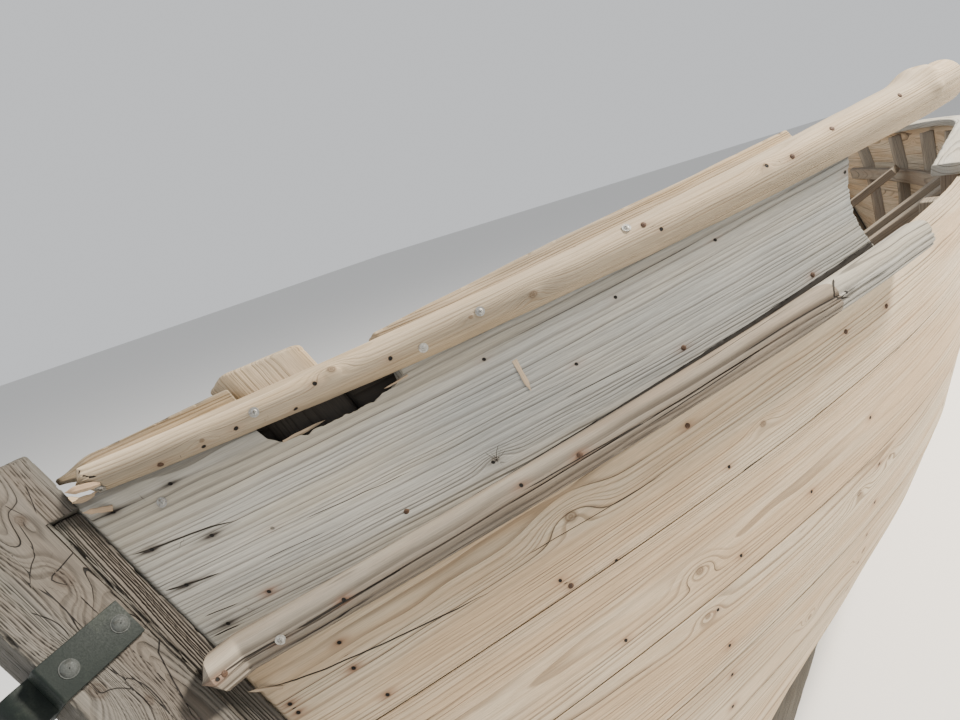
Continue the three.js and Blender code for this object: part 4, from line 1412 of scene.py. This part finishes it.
def frame_path(at, face):
    """Outer and inner hull points of one face of a frame, from starboard head to port head."""
    raised = [(SHEER, 0), (SHEER, RAISED_HEAD)] if at < WASH_HEAD else [(SHEER - 1, SHEER_HEAD)]
    girth = [(k, 0) for k in range(1, SHEER)] + raised
    outer = PLANK + FRAME_GAP
    over_hog = np.array([[INNER_HALF + 0.006, HOG_TOP + FRAME_GAP],
                         [INNER_HALF - 0.005, HOG_TOP + FLOOR_DEPTH]])
    rows = []
    for side in (-1, 1):
        half = [[on_hull(face, point, side) for point in over_hog]]
        half += [[on_hull(face, skin(k, v, outer + depth, face), side) for depth in (0, FRAME_DEPTH)]
                 for k, v in girth]
        rows += half[::-1] if side < 0 else half
    return np.array(rows)


def frame_piece(number, at):
    faces = [frame_path(at, at + way * FRAME_SIDING / 2) for way in (-1, 1)]
    corners = np.arange(len(faces[0]), dtype=float)

    def place(t, s, d):
        def face(rows):
            outside, inside = (np.stack([np.interp(t, corners, rows[:, depth, axis]) for axis in range(3)],
                                        -1) for depth in (0, 1))
            return outside + (inside - outside) * np.asarray(d)[..., None]
        first, second = face(faces[0]), face(faces[1])
        return first + (second - first) * np.asarray(s)[..., None]

    def sizes(t):
        return FRAME_SIDING * KEEL_LENGTH, FRAME_DEPTH

    stations = np.unique(np.concatenate([np.linspace(i, i + 1, 11) for i in range(len(corners) - 1)]))
    piece = timber(f"frame_{number}_timber", place, stations, sizes, section_loop((5, 5), 0.003),
                   seed=400 + number, chips=0.003, end_radius=0.004)
    return dressed(piece, f"frame_{number}", "inside", INSIDE)


for number, at in enumerate(FRAMES, start=1):
    frame_piece(number, at)
print("frames:", FRAME_COUNT)

# %% [markdown]
# ## Timberheads, shelves and caps
#
# A timberhead stands up through the rail on each quarter to take a rope, and rope has worn its top round.
# The shelves carry the thwarts inside the planking, and the caps cover the planks' upper edges forward of
# the poles.

# %% Timberheads
TIMBERHEAD_DEPTH = 0.056
TIMBERHEAD_ABOVE = 0.122
SHADE_LINE = 0.042

for side_name, side in SIDES:
    def place(t, s, d, side=side):
        u = TIMBERHEAD_AT + (np.asarray(s) - 0.5) * TIMBERHEAD_SIDING
        depth = PLANK + FRAME_GAP + np.asarray(d) * TIMBERHEAD_DEPTH
        rows = [skin(k, v + 0.0 * u, depth, u) for k, v in ((SHEER - 1, 0), (SHEER, 0), (SHEER, 1))]
        rows.append(rows[-1] + [0, TIMBERHEAD_ABOVE])
        total = np.zeros(np.shape(u) + (2,))
        for i, row in enumerate(rows):
            total += np.clip(1 - abs(np.asarray(t) - i), 0, 1)[..., None] * row
        return on_hull(u, total, side)

    def sizes(t):
        return TIMBERHEAD_SIDING * 4.9, TIMBERHEAD_DEPTH

    stations = np.concatenate([np.linspace(0, 2, 50), np.linspace(2, 3, 60)[1:]])
    piece = timber(f"timberhead_{side_name}_timber", place, stations, sizes,
                   section_loop((36, 22), 0.011, 5), seed=450 + side, wear=0.0009, chips=0.001,
                   waves=(0.05, 0.03), end_radius=0.009, pith=(0.03, 0.05), spacing=SPACING["pole"],
                   swirl=0.003)
    dressed(piece, f"timberhead_{side_name}", "inside", POLE)
    # Faces below the line, under the pole, get the black of painted shade.
    piece.data.materials.append(SHADE_BLACK)
    sunk = face_middles(piece)[:, 2] < seam(SHEER + 1, TIMBERHEAD_AT)[1] + SHADE_LINE
    piece.data.polygons.foreach_set("material_index", sunk.astype(int))
print("timberheads: 2")

# %% Shelves and caps
SHELF_STRAKE = 5
SHELF_FACE = PLANK + 2 * FRAME_GAP + FRAME_DEPTH
SHELF_THICKNESS = 0.028
CAP_START = 0.3
CAP_OVERHANG = 0.012
CAP_INSET = 0.072
CAP_RISE = 0.003
CAP_THICKNESS = 0.026

for side_name, side in SIDES:
    def shelf_place(u, s, d, side=side):
        return on_hull(u, skin(SHELF_STRAKE, 0.55 + 0.4 * s, SHELF_FACE + SHELF_THICKNESS * d, u), side)

    def shelf_sizes(u):
        return 0.4 * plank_width(SHELF_STRAKE, u), SHELF_THICKNESS

    stations = np.linspace(FRAMES[0] - 0.03, FRAMES[-1] + 0.03, 160)
    piece = timber(f"beam_shelf_{side_name}_timber", shelf_place, stations, shelf_sizes,
                   section_loop((8, 3), 0.003), seed=460 + side)
    dressed(piece, f"beam_shelf_{side_name}", "inside", INSIDE)

    def cap_place(u, s, d, side=side):
        up_plank = seam(SHEER, u) - seam(SHEER - 1, u)
        up_plank /= np.linalg.norm(up_plank, axis=-1, keepdims=True)
        point = skin(SHEER - 1, 1 + 0 * u, -CAP_OVERHANG + (CAP_OVERHANG + CAP_INSET) * s, u)
        point = point + up_plank * (CAP_RISE + CAP_THICKNESS * (1 - np.asarray(d)))[..., None]
        point[..., 0] = np.maximum(point[..., 0], INNER_HALF + CLEARANCE)
        return on_hull(u, point, side)

    def cap_sizes(u):
        return CAP_OVERHANG + CAP_INSET, CAP_THICKNESS

    stations = np.linspace(CAP_START, 1 - CLEARANCE / KEEL_LENGTH, 200)
    piece = timber(f"gunwale_cap_{side_name}_timber", cap_place, stations, cap_sizes,
                   section_loop((14, 3), 0.005), seed=470 + side, chips=0.004)
    dressed(piece, f"gunwale_cap_{side_name}", "wash", WASH)
print("shelves and caps: 4")

# %% [markdown]
# ## Cut plates
#
# The gudgeon straps and the mast step are flat shapes with a hole, cut square through. A flat curve does
# that best: one closed spline is the outline, a second is the hole, and the curve's own extrusion and bevel
# give the thickness and the softened edges. It is turned into a plain mesh before its place is applied.

# %% Plates from flat curves
def plate(name, outline, holes, thickness, bevel, to_place):
    """A flat shape with holes, thickness deep. to_place turns its own points into hull points."""
    curve = bpy.data.curves.new(name, "CURVE")
    curve.dimensions = "2D"
    curve.fill_mode = "BOTH"
    curve.extrude = thickness / 2 - bevel
    curve.bevel_depth = bevel
    curve.bevel_resolution = 2
    curve.offset = -bevel
    for loop in (outline, *holes):
        spline = curve.splines.new("POLY")
        spline.points.add(len(loop) - 1)
        for point, (x, y) in zip(spline.points, loop):
            point.co = (x, y, 0, 1)
        spline.use_cyclic_u = True
    helper = linked(f"{name}_outline", curve)
    mesh = bpy.data.meshes.new_from_object(helper.evaluated_get(bpy.context.evaluated_depsgraph_get()))
    bpy.data.objects.remove(helper)
    mesh.name = name
    flat = np.array([vertex.co for vertex in mesh.vertices])
    flat[:, 2] += thickness / 2
    points = to_place(flat)
    mesh.vertices.foreach_set("co", to_row(points).astype(np.float32).ravel())
    mesh.update()
    mesh.shade_smooth()
    mesh.set_sharp_from_angle(angle=math.radians(32))
    return linked(name, mesh), flat


def arc(centre, radius, start, stop, count):
    turn = np.radians(np.linspace(start, stop, count))
    return [(centre[0] + radius * math.cos(a), centre[1] + radius * math.sin(a)) for a in turn]


def unmarked(wood, pith, bend, shade):
    """What a finish reads from a mesh that has no nails, knots or cracks of its own."""
    nothing = np.tile([FAR_OFF, FAR_OFF, 0.0], (len(wood), 1))
    return {"wood": wood, "pith": np.tile(pith, (len(wood), 1)), "nail": nothing, "knot": nothing,
            "scar": nothing, "bend": bend, "shade": shade}


def mark_plain(mesh, wood, seed, pith):
    """Stores the marks of a plain piece of wood on its mesh."""
    own = seed * OWN_STEP
    shade = 0.35 * smooth(ripple(wood[:, 0] / 0.12, wood[:, 1] / 0.05, 0, seed), 0, 0.8)
    for label, values in unmarked(wood, [*pith, own], grain_bend(wood, own, 0.02, 0.001, []), shade).items():
        store(mesh, label, values)


# %% [markdown]
# ## Gudgeon straps
#
# Each strap is a bar bent round the back of the sternpost, with an eye for the rudder's pin. Its outline is
# drawn looking down the post, then stood along the post's rake.

# %% Straps
STRAP_WIDTH = 0.06
STRAP_THICKNESS = 0.007
STRAP_ARM = 0.121
EYE_RADIUS = 0.026
EYE_SUNK = 0.004
PIN_RADIUS = 0.012
STRAP_BEVEL = 0.0012
STRAP_BEND = 0.005
GUDGEONS = [("upper_gudgeon", 1.038), ("lower_gudgeon", 0.3)]

raked = np.array([[math.cos(STERN_RAKE), 0, math.sin(STERN_RAKE)], [0, 1, 0],
                  [-math.sin(STERN_RAKE), 0, math.cos(STERN_RAKE)]])


def strap_half(height):
    """Half the breadth of the post inside a strap, with its clearance."""
    return float(post_half(height + STRAP_WIDTH)) + CLEARANCE


def strap_foot(height):
    return np.array([stern_line(height) + stern_strip - CLEARANCE, 0, height])


for node, height in GUDGEONS:
    inner = strap_half(height)
    outer = inner + STRAP_THICKNESS
    back = -POST_WIDTH - CLEARANCE
    bridge = back - STRAP_THICKNESS
    eye = (bridge - EYE_RADIUS + EYE_SUNK, 0)
    tip = back + STRAP_ARM
    bend = bridge + STRAP_BEND
    outline = [(tip, outer), *arc((bend, outer - STRAP_BEND), STRAP_BEND, 90, 180, 5), (bridge, EYE_RADIUS),
               (eye[0], EYE_RADIUS), *arc(eye, EYE_RADIUS, 96, 264, 28), (eye[0], -EYE_RADIUS),
               (bridge, -EYE_RADIUS), *arc((bend, STRAP_BEND - outer), STRAP_BEND, 180, 270, 5),
               (tip, -outer), (tip, -inner), (back, -inner), (back, inner), (tip, inner)]
    pin_hole = arc(eye, PIN_RADIUS, 0, 350, 36)
    piece, _ = plate(f"{node}_strap", outline, [pin_hole], STRAP_WIDTH, STRAP_BEVEL,
                     lambda flat, foot=strap_foot(height): flat @ raked + foot)
    dressed(piece, node, "iron", STRAP_IRON)
print("straps:", len(GUDGEONS))

# %% Mast step
STEP_LENGTH = 0.24
STEP_HALF = 0.066
STEP_HEIGHT = 0.07
STEP_BEVEL = 0.003
MORTISE = (0.092, 0.062)
step_low, step_high = hull_box("mast_step")
step_middle = (step_low[0] + step_high[0]) / 2


def rectangle(x, y):
    return [(-x, -y), (x, -y), (x, y), (-x, y)]


mortise = rectangle(MORTISE[0] / 2, MORTISE[1] / 2)
step, flat = plate("mast_step_block", rectangle(STEP_LENGTH / 2, STEP_HALF), [mortise], STEP_HEIGHT,
                   STEP_BEVEL, lambda flat: flat + [step_middle, 0, step_low[2]])
mark_plain(step.data, flat * [1, 1, -1], 501, (0.05, 0.09))
dressed(step, "mast_step", "inside", INSIDE)
print("mast step:", round(STEP_LENGTH, 3), "m long")

# %% [markdown]
# ## Mast and yard
#
# A spar is thickest a little above its heel and thins towards its head. Its radius is one curve through three
# sizes, so Geometry Nodes make it: a line is resampled, each point's radius is set from its share of the
# length, and a circle is swept along it. The two spars use the same tree with their own sizes.

# %% Spar tree
def geometry_tree(name, inputs):
    """A Geometry Nodes tree with a geometry in and out, a finish and named numbers."""
    tree = bpy.data.node_groups.new(name, "GeometryNodeTree")
    tree.is_modifier = True
    tree.interface.new_socket("Geometry", in_out="INPUT", socket_type="NodeSocketGeometry")
    for label, default in inputs.items():
        kind = "NodeSocketInt" if isinstance(default, int) else "NodeSocketFloat"
        tree.interface.new_socket(label, in_out="INPUT", socket_type=kind).default_value = default
    tree.interface.new_socket("Finish", in_out="INPUT", socket_type="NodeSocketMaterial")
    tree.interface.new_socket("Geometry", in_out="OUTPUT", socket_type="NodeSocketGeometry")
    return tree, tree.nodes.new("NodeGroupInput").outputs


def give_out(tree, geometry, given):
    """Ends a tree: its geometry is made real, given its finish and put out."""
    whole = add(tree, "GeometryNodeRealizeInstances", {"Geometry": geometry}).outputs[0]
    finished = add(tree, "GeometryNodeSetMaterial",
                   {"Geometry": whole, "Material": given["Finish"]}).outputs[0]
    tree.links.new(finished, tree.nodes.new("NodeGroupOutput").inputs["Geometry"])


def grown(name, mesh, tree, values):
    """Runs a tree on a mesh and returns the result as a plain object."""
    helper = linked(name, mesh)
    modifier = helper.modifiers.new("shape", "NODES")
    modifier.node_group = tree
    for item in tree.interface.items_tree:
        if item.name in values:
            modifier[item.identifier] = values[item.name]
    plain = bpy.data.meshes.new_from_object(helper.evaluated_get(bpy.context.evaluated_depsgraph_get()))
    helper.modifiers.clear()
    helper.data = plain
    plain.name = name
    return helper


spar_tree, given = geometry_tree("tapered spar", {
    "Heel radius": 0.05, "Middle radius": 0.05, "Head radius": 0.03, "Steps": 90, "Sides": 40})
times, plus, _ = sums(spar_tree)
share = add(spar_tree, "GeometryNodeSplineParameter").outputs["Factor"]
left = reckon(spar_tree, "SUBTRACT", 1.0, share)
heel_part = times(left, reckon(spar_tree, "SUBTRACT", left, share))
head_part = times(share, reckon(spar_tree, "SUBTRACT", share, left))
middle_part = times(share, left, 4.0)
thickness = plus(times(heel_part, given["Heel radius"]), times(middle_part, given["Middle radius"]),
                 times(head_part, given["Head radius"]))
from_ends = add(spar_tree, "ShaderNodeMath", {0: times(middle_part, 26.0), 1: 0.0}, operation="ADD",
                use_clamp=True).outputs[0]
rounding = plus(times(reckon(spar_tree, "SQRT", from_ends), 0.45), 0.55)
line = add(spar_tree, "GeometryNodeMeshToCurve", {"Mesh": given["Geometry"]}).outputs[0]
line = add(spar_tree, "GeometryNodeResampleCurve", {"Curve": line, "Count": given["Steps"]}).outputs[0]
line = add(spar_tree, "GeometryNodeSetCurveRadius",
           {"Curve": line, "Radius": times(thickness, rounding)}).outputs[0]
circle = add(spar_tree, "GeometryNodeCurvePrimitiveCircle",
             {"Resolution": given["Sides"], "Radius": 1.0}).outputs[0]
swept = add(spar_tree, "GeometryNodeCurveToMesh", {"Curve": line, "Profile Curve": circle, "Fill Caps": True})
scaled = next((socket for socket in swept.inputs if socket.name == "Scale"), None)
if scaled:
    radius_field = add(spar_tree, "GeometryNodeInputRadius").outputs[0]
    spar_tree.links.new(radius_field, scaled)
give_out(spar_tree, swept.outputs[0], given)

# %% The two spars
SPAR_GAP = 0.003
MAST = {"heel": (4.23, 0.225), "head": (0.23, 0.13), "radii": (0.056, 0.052, 0.036)}
YARD = {"heel": (4.08, 0.115), "head": (0.16, 0.044), "radii": (0.022, 0.033, 0.02)}
RESTS = [(low[0], high[2]) for low, high in map(hull_box, ("fore_thwart", "stern_thwart"))]


def spar_radius(share, radii):
    return (radii[0] * (1 - share) * (1 - 2 * share) + 4 * radii[1] * share * (1 - share)
            + radii[2] * share * (2 * share - 1))


def spar_ends(heel, head, radii):
    """The spar's two ends: it lies across the fore and the stern thwart, a little clear of them."""
    rests = [(x, z + spar_radius((x - heel[0]) / (head[0] - heel[0]), radii) + SPAR_GAP) for x, z in RESTS]
    (fore_x, fore_z), (aft_x, aft_z) = rests
    slope = (aft_z - fore_z) / (aft_x - fore_x)
    return np.array([[x, y, fore_z + (x - fore_x) * slope] for x, y in (heel, head)])


for node, spar in (("mast", MAST), ("yard", YARD)):
    ends = spar_ends(**spar)
    line = bpy.data.meshes.new(f"{node}_line")
    line.from_pydata(to_row(ends).tolist(), [(0, 1)], [])
    piece = grown(f"{node}_spar", line, spar_tree, {
        "Heel radius": spar["radii"][0], "Middle radius": spar["radii"][1], "Head radius": spar["radii"][2],
        "Steps": 120, "Sides": 48, "Finish": SPAR})
    mesh = piece.data
    placed = to_hull(np.array([vertex.co for vertex in mesh.vertices]))
    way = (ends[1] - ends[0]) / np.linalg.norm(ends[1] - ends[0])
    offset = placed - ends[0]
    far = offset @ way
    off_line = offset - far[:, None] * way
    round_it = np.arctan2(off_line[:, 2], off_line[:, 1])
    size = np.linalg.norm(off_line, axis=1)
    seed = 611 if node == "mast" else 612
    mark_plain(mesh, np.stack([far, round_it * spar["radii"][0], 0 * far], -1), seed, (0.0, 0.05))
    uneven = 0.03 * size * ripple(far / 0.5, np.cos(round_it), np.sin(round_it), seed)
    worn = placed + off_line / np.maximum(size, 1e-6)[:, None] * np.minimum(uneven, 0)[:, None]
    mesh.vertices.foreach_set("co", to_row(worn).astype(np.float32).ravel())
    mesh.update()
    mesh.shade_smooth()
    mesh.set_sharp_from_angle(angle=math.radians(50))
    dressed(piece, node, "spar", SPAR)
print("spars: mast", round(float(np.linalg.norm(ends[1] - ends[0])), 2), "m")

# %% [markdown]
# ## Screws, nails and bolts
#
# Heads of fastenings repeat all over the near side. One Geometry Nodes tree makes a domed head with a cross
# cut into it, on a washer, and puts it on each point of a small mesh, turned to face outwards and spun at
# random with a fixed seed. The points come from the picture: the nearest point of the piece that shows
# there.

# %% Fastening tree
fastening, given = geometry_tree("domed fastening", {
    "Head radius": 0.006, "Dome": 0.4, "Slot width": 0.0012, "Slot length": 1.3, "Washer radius": 0.0062,
    "Washer thickness": 0.0014, "Seed": 4})
ball = add(fastening, "GeometryNodeMeshUVSphere", {
    "Segments": 20, "Rings": 10, "Radius": given["Head radius"]}).outputs[0]
dome = add(fastening, "GeometryNodeTransform", {
    "Geometry": ball, "Scale": vector(fastening, 1.0, 1.0, given["Dome"])}).outputs[0]
dome_top = reckon(fastening, "MULTIPLY", given["Head radius"], given["Dome"])
reach = reckon(fastening, "MULTIPLY", given["Head radius"], given["Slot length"])
raised = vector(fastening, 0.0, 0.0, dome_top)
cut = add(fastening, "GeometryNodeMeshBoolean", {"Mesh 1": dome}, operation="DIFFERENCE")
for first, second in ((reach, given["Slot width"]), (given["Slot width"], reach)):
    cutter = add(fastening, "GeometryNodeMeshCube",
                 {"Size": vector(fastening, first, second, dome_top)}).outputs[0]
    cutter = add(fastening, "GeometryNodeTransform", {"Geometry": cutter, "Translation": raised}).outputs[0]
    fastening.links.new(cutter, cut.inputs["Mesh 2"])
washer = add(fastening, "GeometryNodeMeshCylinder", {
    "Vertices": 28, "Radius": given["Washer radius"], "Depth": given["Washer thickness"]}).outputs[0]
head = add(fastening, "GeometryNodeJoinGeometry")
for body in (washer, cut.outputs[0]):
    fastening.links.new(body, head.inputs[0])
facing = add(fastening, "GeometryNodeInputNamedAttribute", {"Name": "facing"},
             data_type="FLOAT_VECTOR").outputs[0]
outwards = add(fastening, "FunctionNodeAlignRotationToVector", {"Vector": facing}, axis="Z").outputs[0]
angle = add(fastening, "FunctionNodeRandomValue", {2: 0.0, 3: 6.28, "Seed": given["Seed"]}, data_type="FLOAT")
spin = add(fastening, "FunctionNodeAxisAngleToRotation",
           {"Axis": (0, 0, 1), "Angle": angle.outputs[1]}).outputs[0]
turned = add(fastening, "FunctionNodeRotateRotation", {0: outwards, 1: spin},
             rotation_space="LOCAL").outputs[0]
points = add(fastening, "GeometryNodeMeshToPoints", {"Mesh": given["Geometry"]}).outputs[0]
heads = add(fastening, "GeometryNodeInstanceOnPoints", {
    "Points": points, "Instance": head.outputs[0], "Rotation": turned}).outputs[0]
give_out(fastening, heads, given)


# %% Putting fastenings on pieces
def seen_on(piece, spots):
    """Row points and outward directions of a piece where it shows at each place in the picture."""
    mesh = piece.data
    count = len(mesh.vertices)
    points, outwards = np.empty(3 * count), np.empty(3 * count)
    mesh.vertices.foreach_get("co", points)
    mesh.vertices.foreach_get("normal", outwards)
    points, outwards = points.reshape(-1, 3), outwards.reshape(-1, 3)
    to_eye = to_row(CAMERA_PLACE) - points
    seen = (outwards * to_eye).sum(-1) > 0
    shown = pixel(to_hull(points))
    found = []
    for spot in spots:
        apart = np.where(seen, np.hypot(*(shown - spot).T), np.inf)
        close = np.argsort(apart)[:12]
        outward = outwards[close].mean(0)
        found.append((points[close[0]], outward / np.linalg.norm(outward)))
    return found


def mirrored(found):
    """The same places on the boat's other side."""
    flip = np.array([1, -1, 1])
    return [(to_row(to_hull(point) * flip), ((outward @ HEELED) * flip) @ HEELED.T)
            for point, outward in found]


def fasten(name, found, material, lift=0.0, **sizes):
    mesh = bpy.data.meshes.new(f"{name}_points")
    mesh.from_pydata([(point + outward * lift).tolist() for point, outward in found], [], [])
    store(mesh, "facing", np.array([outward for _, outward in found]))
    labels = {label.replace("_", " ").capitalize(): value for label, value in sizes.items()}
    piece = grown(name, mesh, fastening, {"Finish": material, **labels})
    piece.data.shade_smooth()
    piece.data.set_sharp_from_angle(angle=math.radians(40))
    return dressed(piece, None, "iron", material)


SCREWS = {
    "top_pole_starboard_rail": [(101, 488), (255, 412), (423, 348), (481, 311), (627, 228)],
    "wash_strake_starboard_board": [(163, 502)],
    "lower_pole_starboard_rail": [(281, 640)],
}
NAIL_HEADS = {
    "top_pole_starboard_rail": [(162, 464), (643, 225), (792, 157), (832, 128), (900, 96)],
    "wash_strake_starboard_board": [(683, 348), (813, 275), (406, 512)],
    "lower_pole_starboard_rail": [(224, 674), (580, 455)],
    "sheer_strake_starboard_board": [(572, 586), (688, 425), (846, 331), (886, 306)],
}


def all_seen(places):
    return [spot for name, spots in places.items() for spot in seen_on(bpy.data.objects[name], spots)]


screws, nails = all_seen(SCREWS), all_seen(NAIL_HEADS)
fasten("rail_screws", screws + mirrored(screws), SCREW_STEEL, lift=0.0006, head_radius=0.0052,
       washer_radius=0.0078)
fasten("plank_nails", nails + mirrored(nails), NAIL_IRON, head_radius=0.0046, dome=0.3, slot_length=0.2,
       slot_width=0.0008, washer_radius=0.0047, washer_thickness=0.0008)

STRAP_BOLTS = [0.0316, 0.1116]
BOLT_RADIUS = 0.012
bolts = []
for node, height in GUDGEONS:
    face = strap_half(height) + STRAP_THICKNESS
    for side in (-1, 1):
        for behind in STRAP_BOLTS:
            place = np.array([-behind, side * face, STRAP_WIDTH / 2]) @ raked + strap_foot(height)
            bolts.append((to_row(place), np.array([0, side, 0]) @ HEELED.T))
fasten("strap_bolts", bolts, BOLT_IRON, head_radius=BOLT_RADIUS, dome=0.3, slot_length=0.15,
       slot_width=0.0008, washer_radius=BOLT_RADIUS * 1.08, washer_thickness=0.0016)
print("fastenings:", 2 * len(screws), "screws,", 2 * len(nails), "nails,", len(bolts), "bolts")

# %% [markdown]
# ## Splinters
#
# Where the top pole's after end and the wash strake's upper edge have broken, long splinters still hang on.
# Each is a thin tapering lath between two places in the picture. It starts on the piece it broke from and
# ends in the air, as far from the camera as its root. The last one is a chip that lies flat on the wash
# strake.

# %% Splinters
def splinter(start, stop, width, thickness, seed, out):
    """A tapering lath between two hull points: rings of six points, how far along each is, and the turns."""
    way = stop - start
    span = np.linalg.norm(way)
    way = way / span
    broad = np.cross(way, out)
    broad /= np.linalg.norm(broad)
    deep = np.cross(way, broad)
    share = np.linspace(0, 1, 18)
    uneven = 0.75 + 0.25 * ripple(share * 5, 0, 0, seed)
    taper = np.clip(np.minimum(1, 3.5 * (1 - share)) * uneven, 0.03, None)
    line = start + np.outer(share * span, way) + np.outer(0.0016 * ripple(share * 3, 1, 0, seed), deep)
    turn = np.linspace(0, 2 * math.pi, 6, endpoint=False) + 0.4
    ring = np.cos(turn)[:, None] * broad * width / 2 + np.sin(turn)[:, None] * deep * thickness / 2
    return line[:, None] + taper[:, None, None] * ring[None], np.outer(share * span, np.ones(6)), turn


SPLINTERS = [("top_pole_starboard_rail", (100, 484), (64, 493), 0.014, 0.009),
             ("top_pole_starboard_rail", (104, 497), (72, 504), 0.013, 0.007),
             ("wash_strake_starboard_board", (112, 507), (82, 513), 0.012, 0.006),
             ("wash_strake_starboard_board", (284, 441), (325, 420), 0.010, 0.003),
             ("wash_strake_starboard_board", (408, 374), (384, 389), 0.005, 0.003),
             ("sheer_strake_starboard_board", (284, 686), (248, 692), 0.008, 0.003)]
CHIP = ("wash_strake_starboard_board", (514, 361), (531, 392), 0.011, 0.0016)
SPLINTER_FLAT = np.array([0, 0.8, 0.6])
SPLINTER_LIFT = 0.002
CHIP_LIFT = 0.001


def beside(root, spot):
    """The hull point that shows at a place in the picture, nearly as far from the camera as the root."""
    right, down = spot
    way = camera_axes @ np.array([(right - PICTURE_WIDTH / 2) / FOCAL_PIXELS,
                                  -(down - PICTURE_HEIGHT / 2) / FOCAL_PIXELS, -1.0])
    return CAMERA_PLACE + way / np.linalg.norm(way) * (np.linalg.norm(root - CAMERA_PLACE) - SPLINTER_LIFT)


points, faces, wood = [], [], []
for seed, (name, start, stop, width, thickness) in enumerate([*SPLINTERS, CHIP]):
    (root, outward), (tip, _) = seen_on(bpy.data.objects[name], [start, stop])
    flat, root = SPLINTER_FLAT, to_hull(root)
    end = beside(root, stop)
    if seed == len(SPLINTERS):
        flat = outward @ HEELED
        root, end = root + CHIP_LIFT * flat, to_hull(tip) + CHIP_LIFT * flat
    rings, far, turn = splinter(root, end, width, thickness, 700 + seed, flat)
    before = sum(map(len, points))
    faces += [[before + i for i in face] for face in ring_faces(*rings.shape[:2])]
    points.append(rings.reshape(-1, 3))
    across = np.tile(np.cos(turn) * width / 2, len(rings))
    wood.append(np.stack([far.ravel() + seed, across, 0 * across], -1))
wood = np.concatenate(wood)
none = np.zeros(len(wood))
piece = mesh_object("broken_splinters", np.concatenate(points), faces,
                    unmarked(wood, [0.0, 0.05, 2.2], none, none))
FRESH = weathered("fresh broken wood", (0.46, 0.36, 0.25), (0.24, 0.15, 0.09), (0.40, 0.27, 0.17),
                  (0.35, 0.26, 0.17), spacing=0.003, contrast=0.5, relief=0.0006)
dressed(piece, None, "pole", FRESH)
print("splinters:", len(SPLINTERS), "and a chip")

# %% [markdown]
# ## Floor and light
#
# A pale seamless floor and soft light from a large lamp keep the wood's own colours. The lamp stands high on
# the starboard quarter and shines across the grain, so its relief shows.

# %% Floor, lamps and sky
FLOOR_HALF = 60.0
SKY_LIGHT = 0.62
SKY_SEEN = 0.82
floor_mesh = bpy.data.meshes.new("floor")
floor_mesh.from_pydata([(x, y, 0) for x, y in rectangle(FLOOR_HALF, FLOOR_HALF)], [], [(0, 1, 2, 3)])
floor = linked("floor", floor_mesh)
pale, _, surface = blank_finish("pale floor")
surface.inputs["Base Color"].default_value = (0.86, 0.85, 0.83, 1)
surface.inputs["Roughness"].default_value = 0.95
floor_mesh.materials.append(pale)

world = bpy.data.worlds.new("soft sky")
world.use_nodes = True
backdrop = world.node_tree.nodes["Background"]
backdrop.inputs["Color"].default_value = (0.90, 0.92, 0.95, 1)
ray = add(world.node_tree, "ShaderNodeLightPath").outputs["Is Camera Ray"]
level = add(world.node_tree, "ShaderNodeMapRange", {0: ray, 3: SKY_LIGHT, 4: SKY_SEEN}).outputs[0]
world.node_tree.links.new(level, backdrop.inputs["Strength"])
bpy.context.scene.world = world


def lamp(name, place, aim, size, power, colour):
    data = bpy.data.lights.new(name, "AREA")
    data.shape = "DISK"
    data.size = size
    data.energy = power
    data.color = colour
    light = linked(name, data)
    light.location = place
    light.rotation_euler = (Vector(aim) - Vector(place)).to_track_quat("-Z", "Y").to_euler()
    return light


lamp("key", place=(1.6, -4.6, 6.2), aim=(-1.6, -0.4, 0.9), size=1.6, power=1750, colour=(1.0, 0.94, 0.84))
lamp("fill", place=(-6.0, 2.0, 4.0), aim=(-1.5, 0.0, 0.8), size=4.0, power=120, colour=(0.88, 0.93, 1.0))
print("lights:", len(bpy.data.lights))
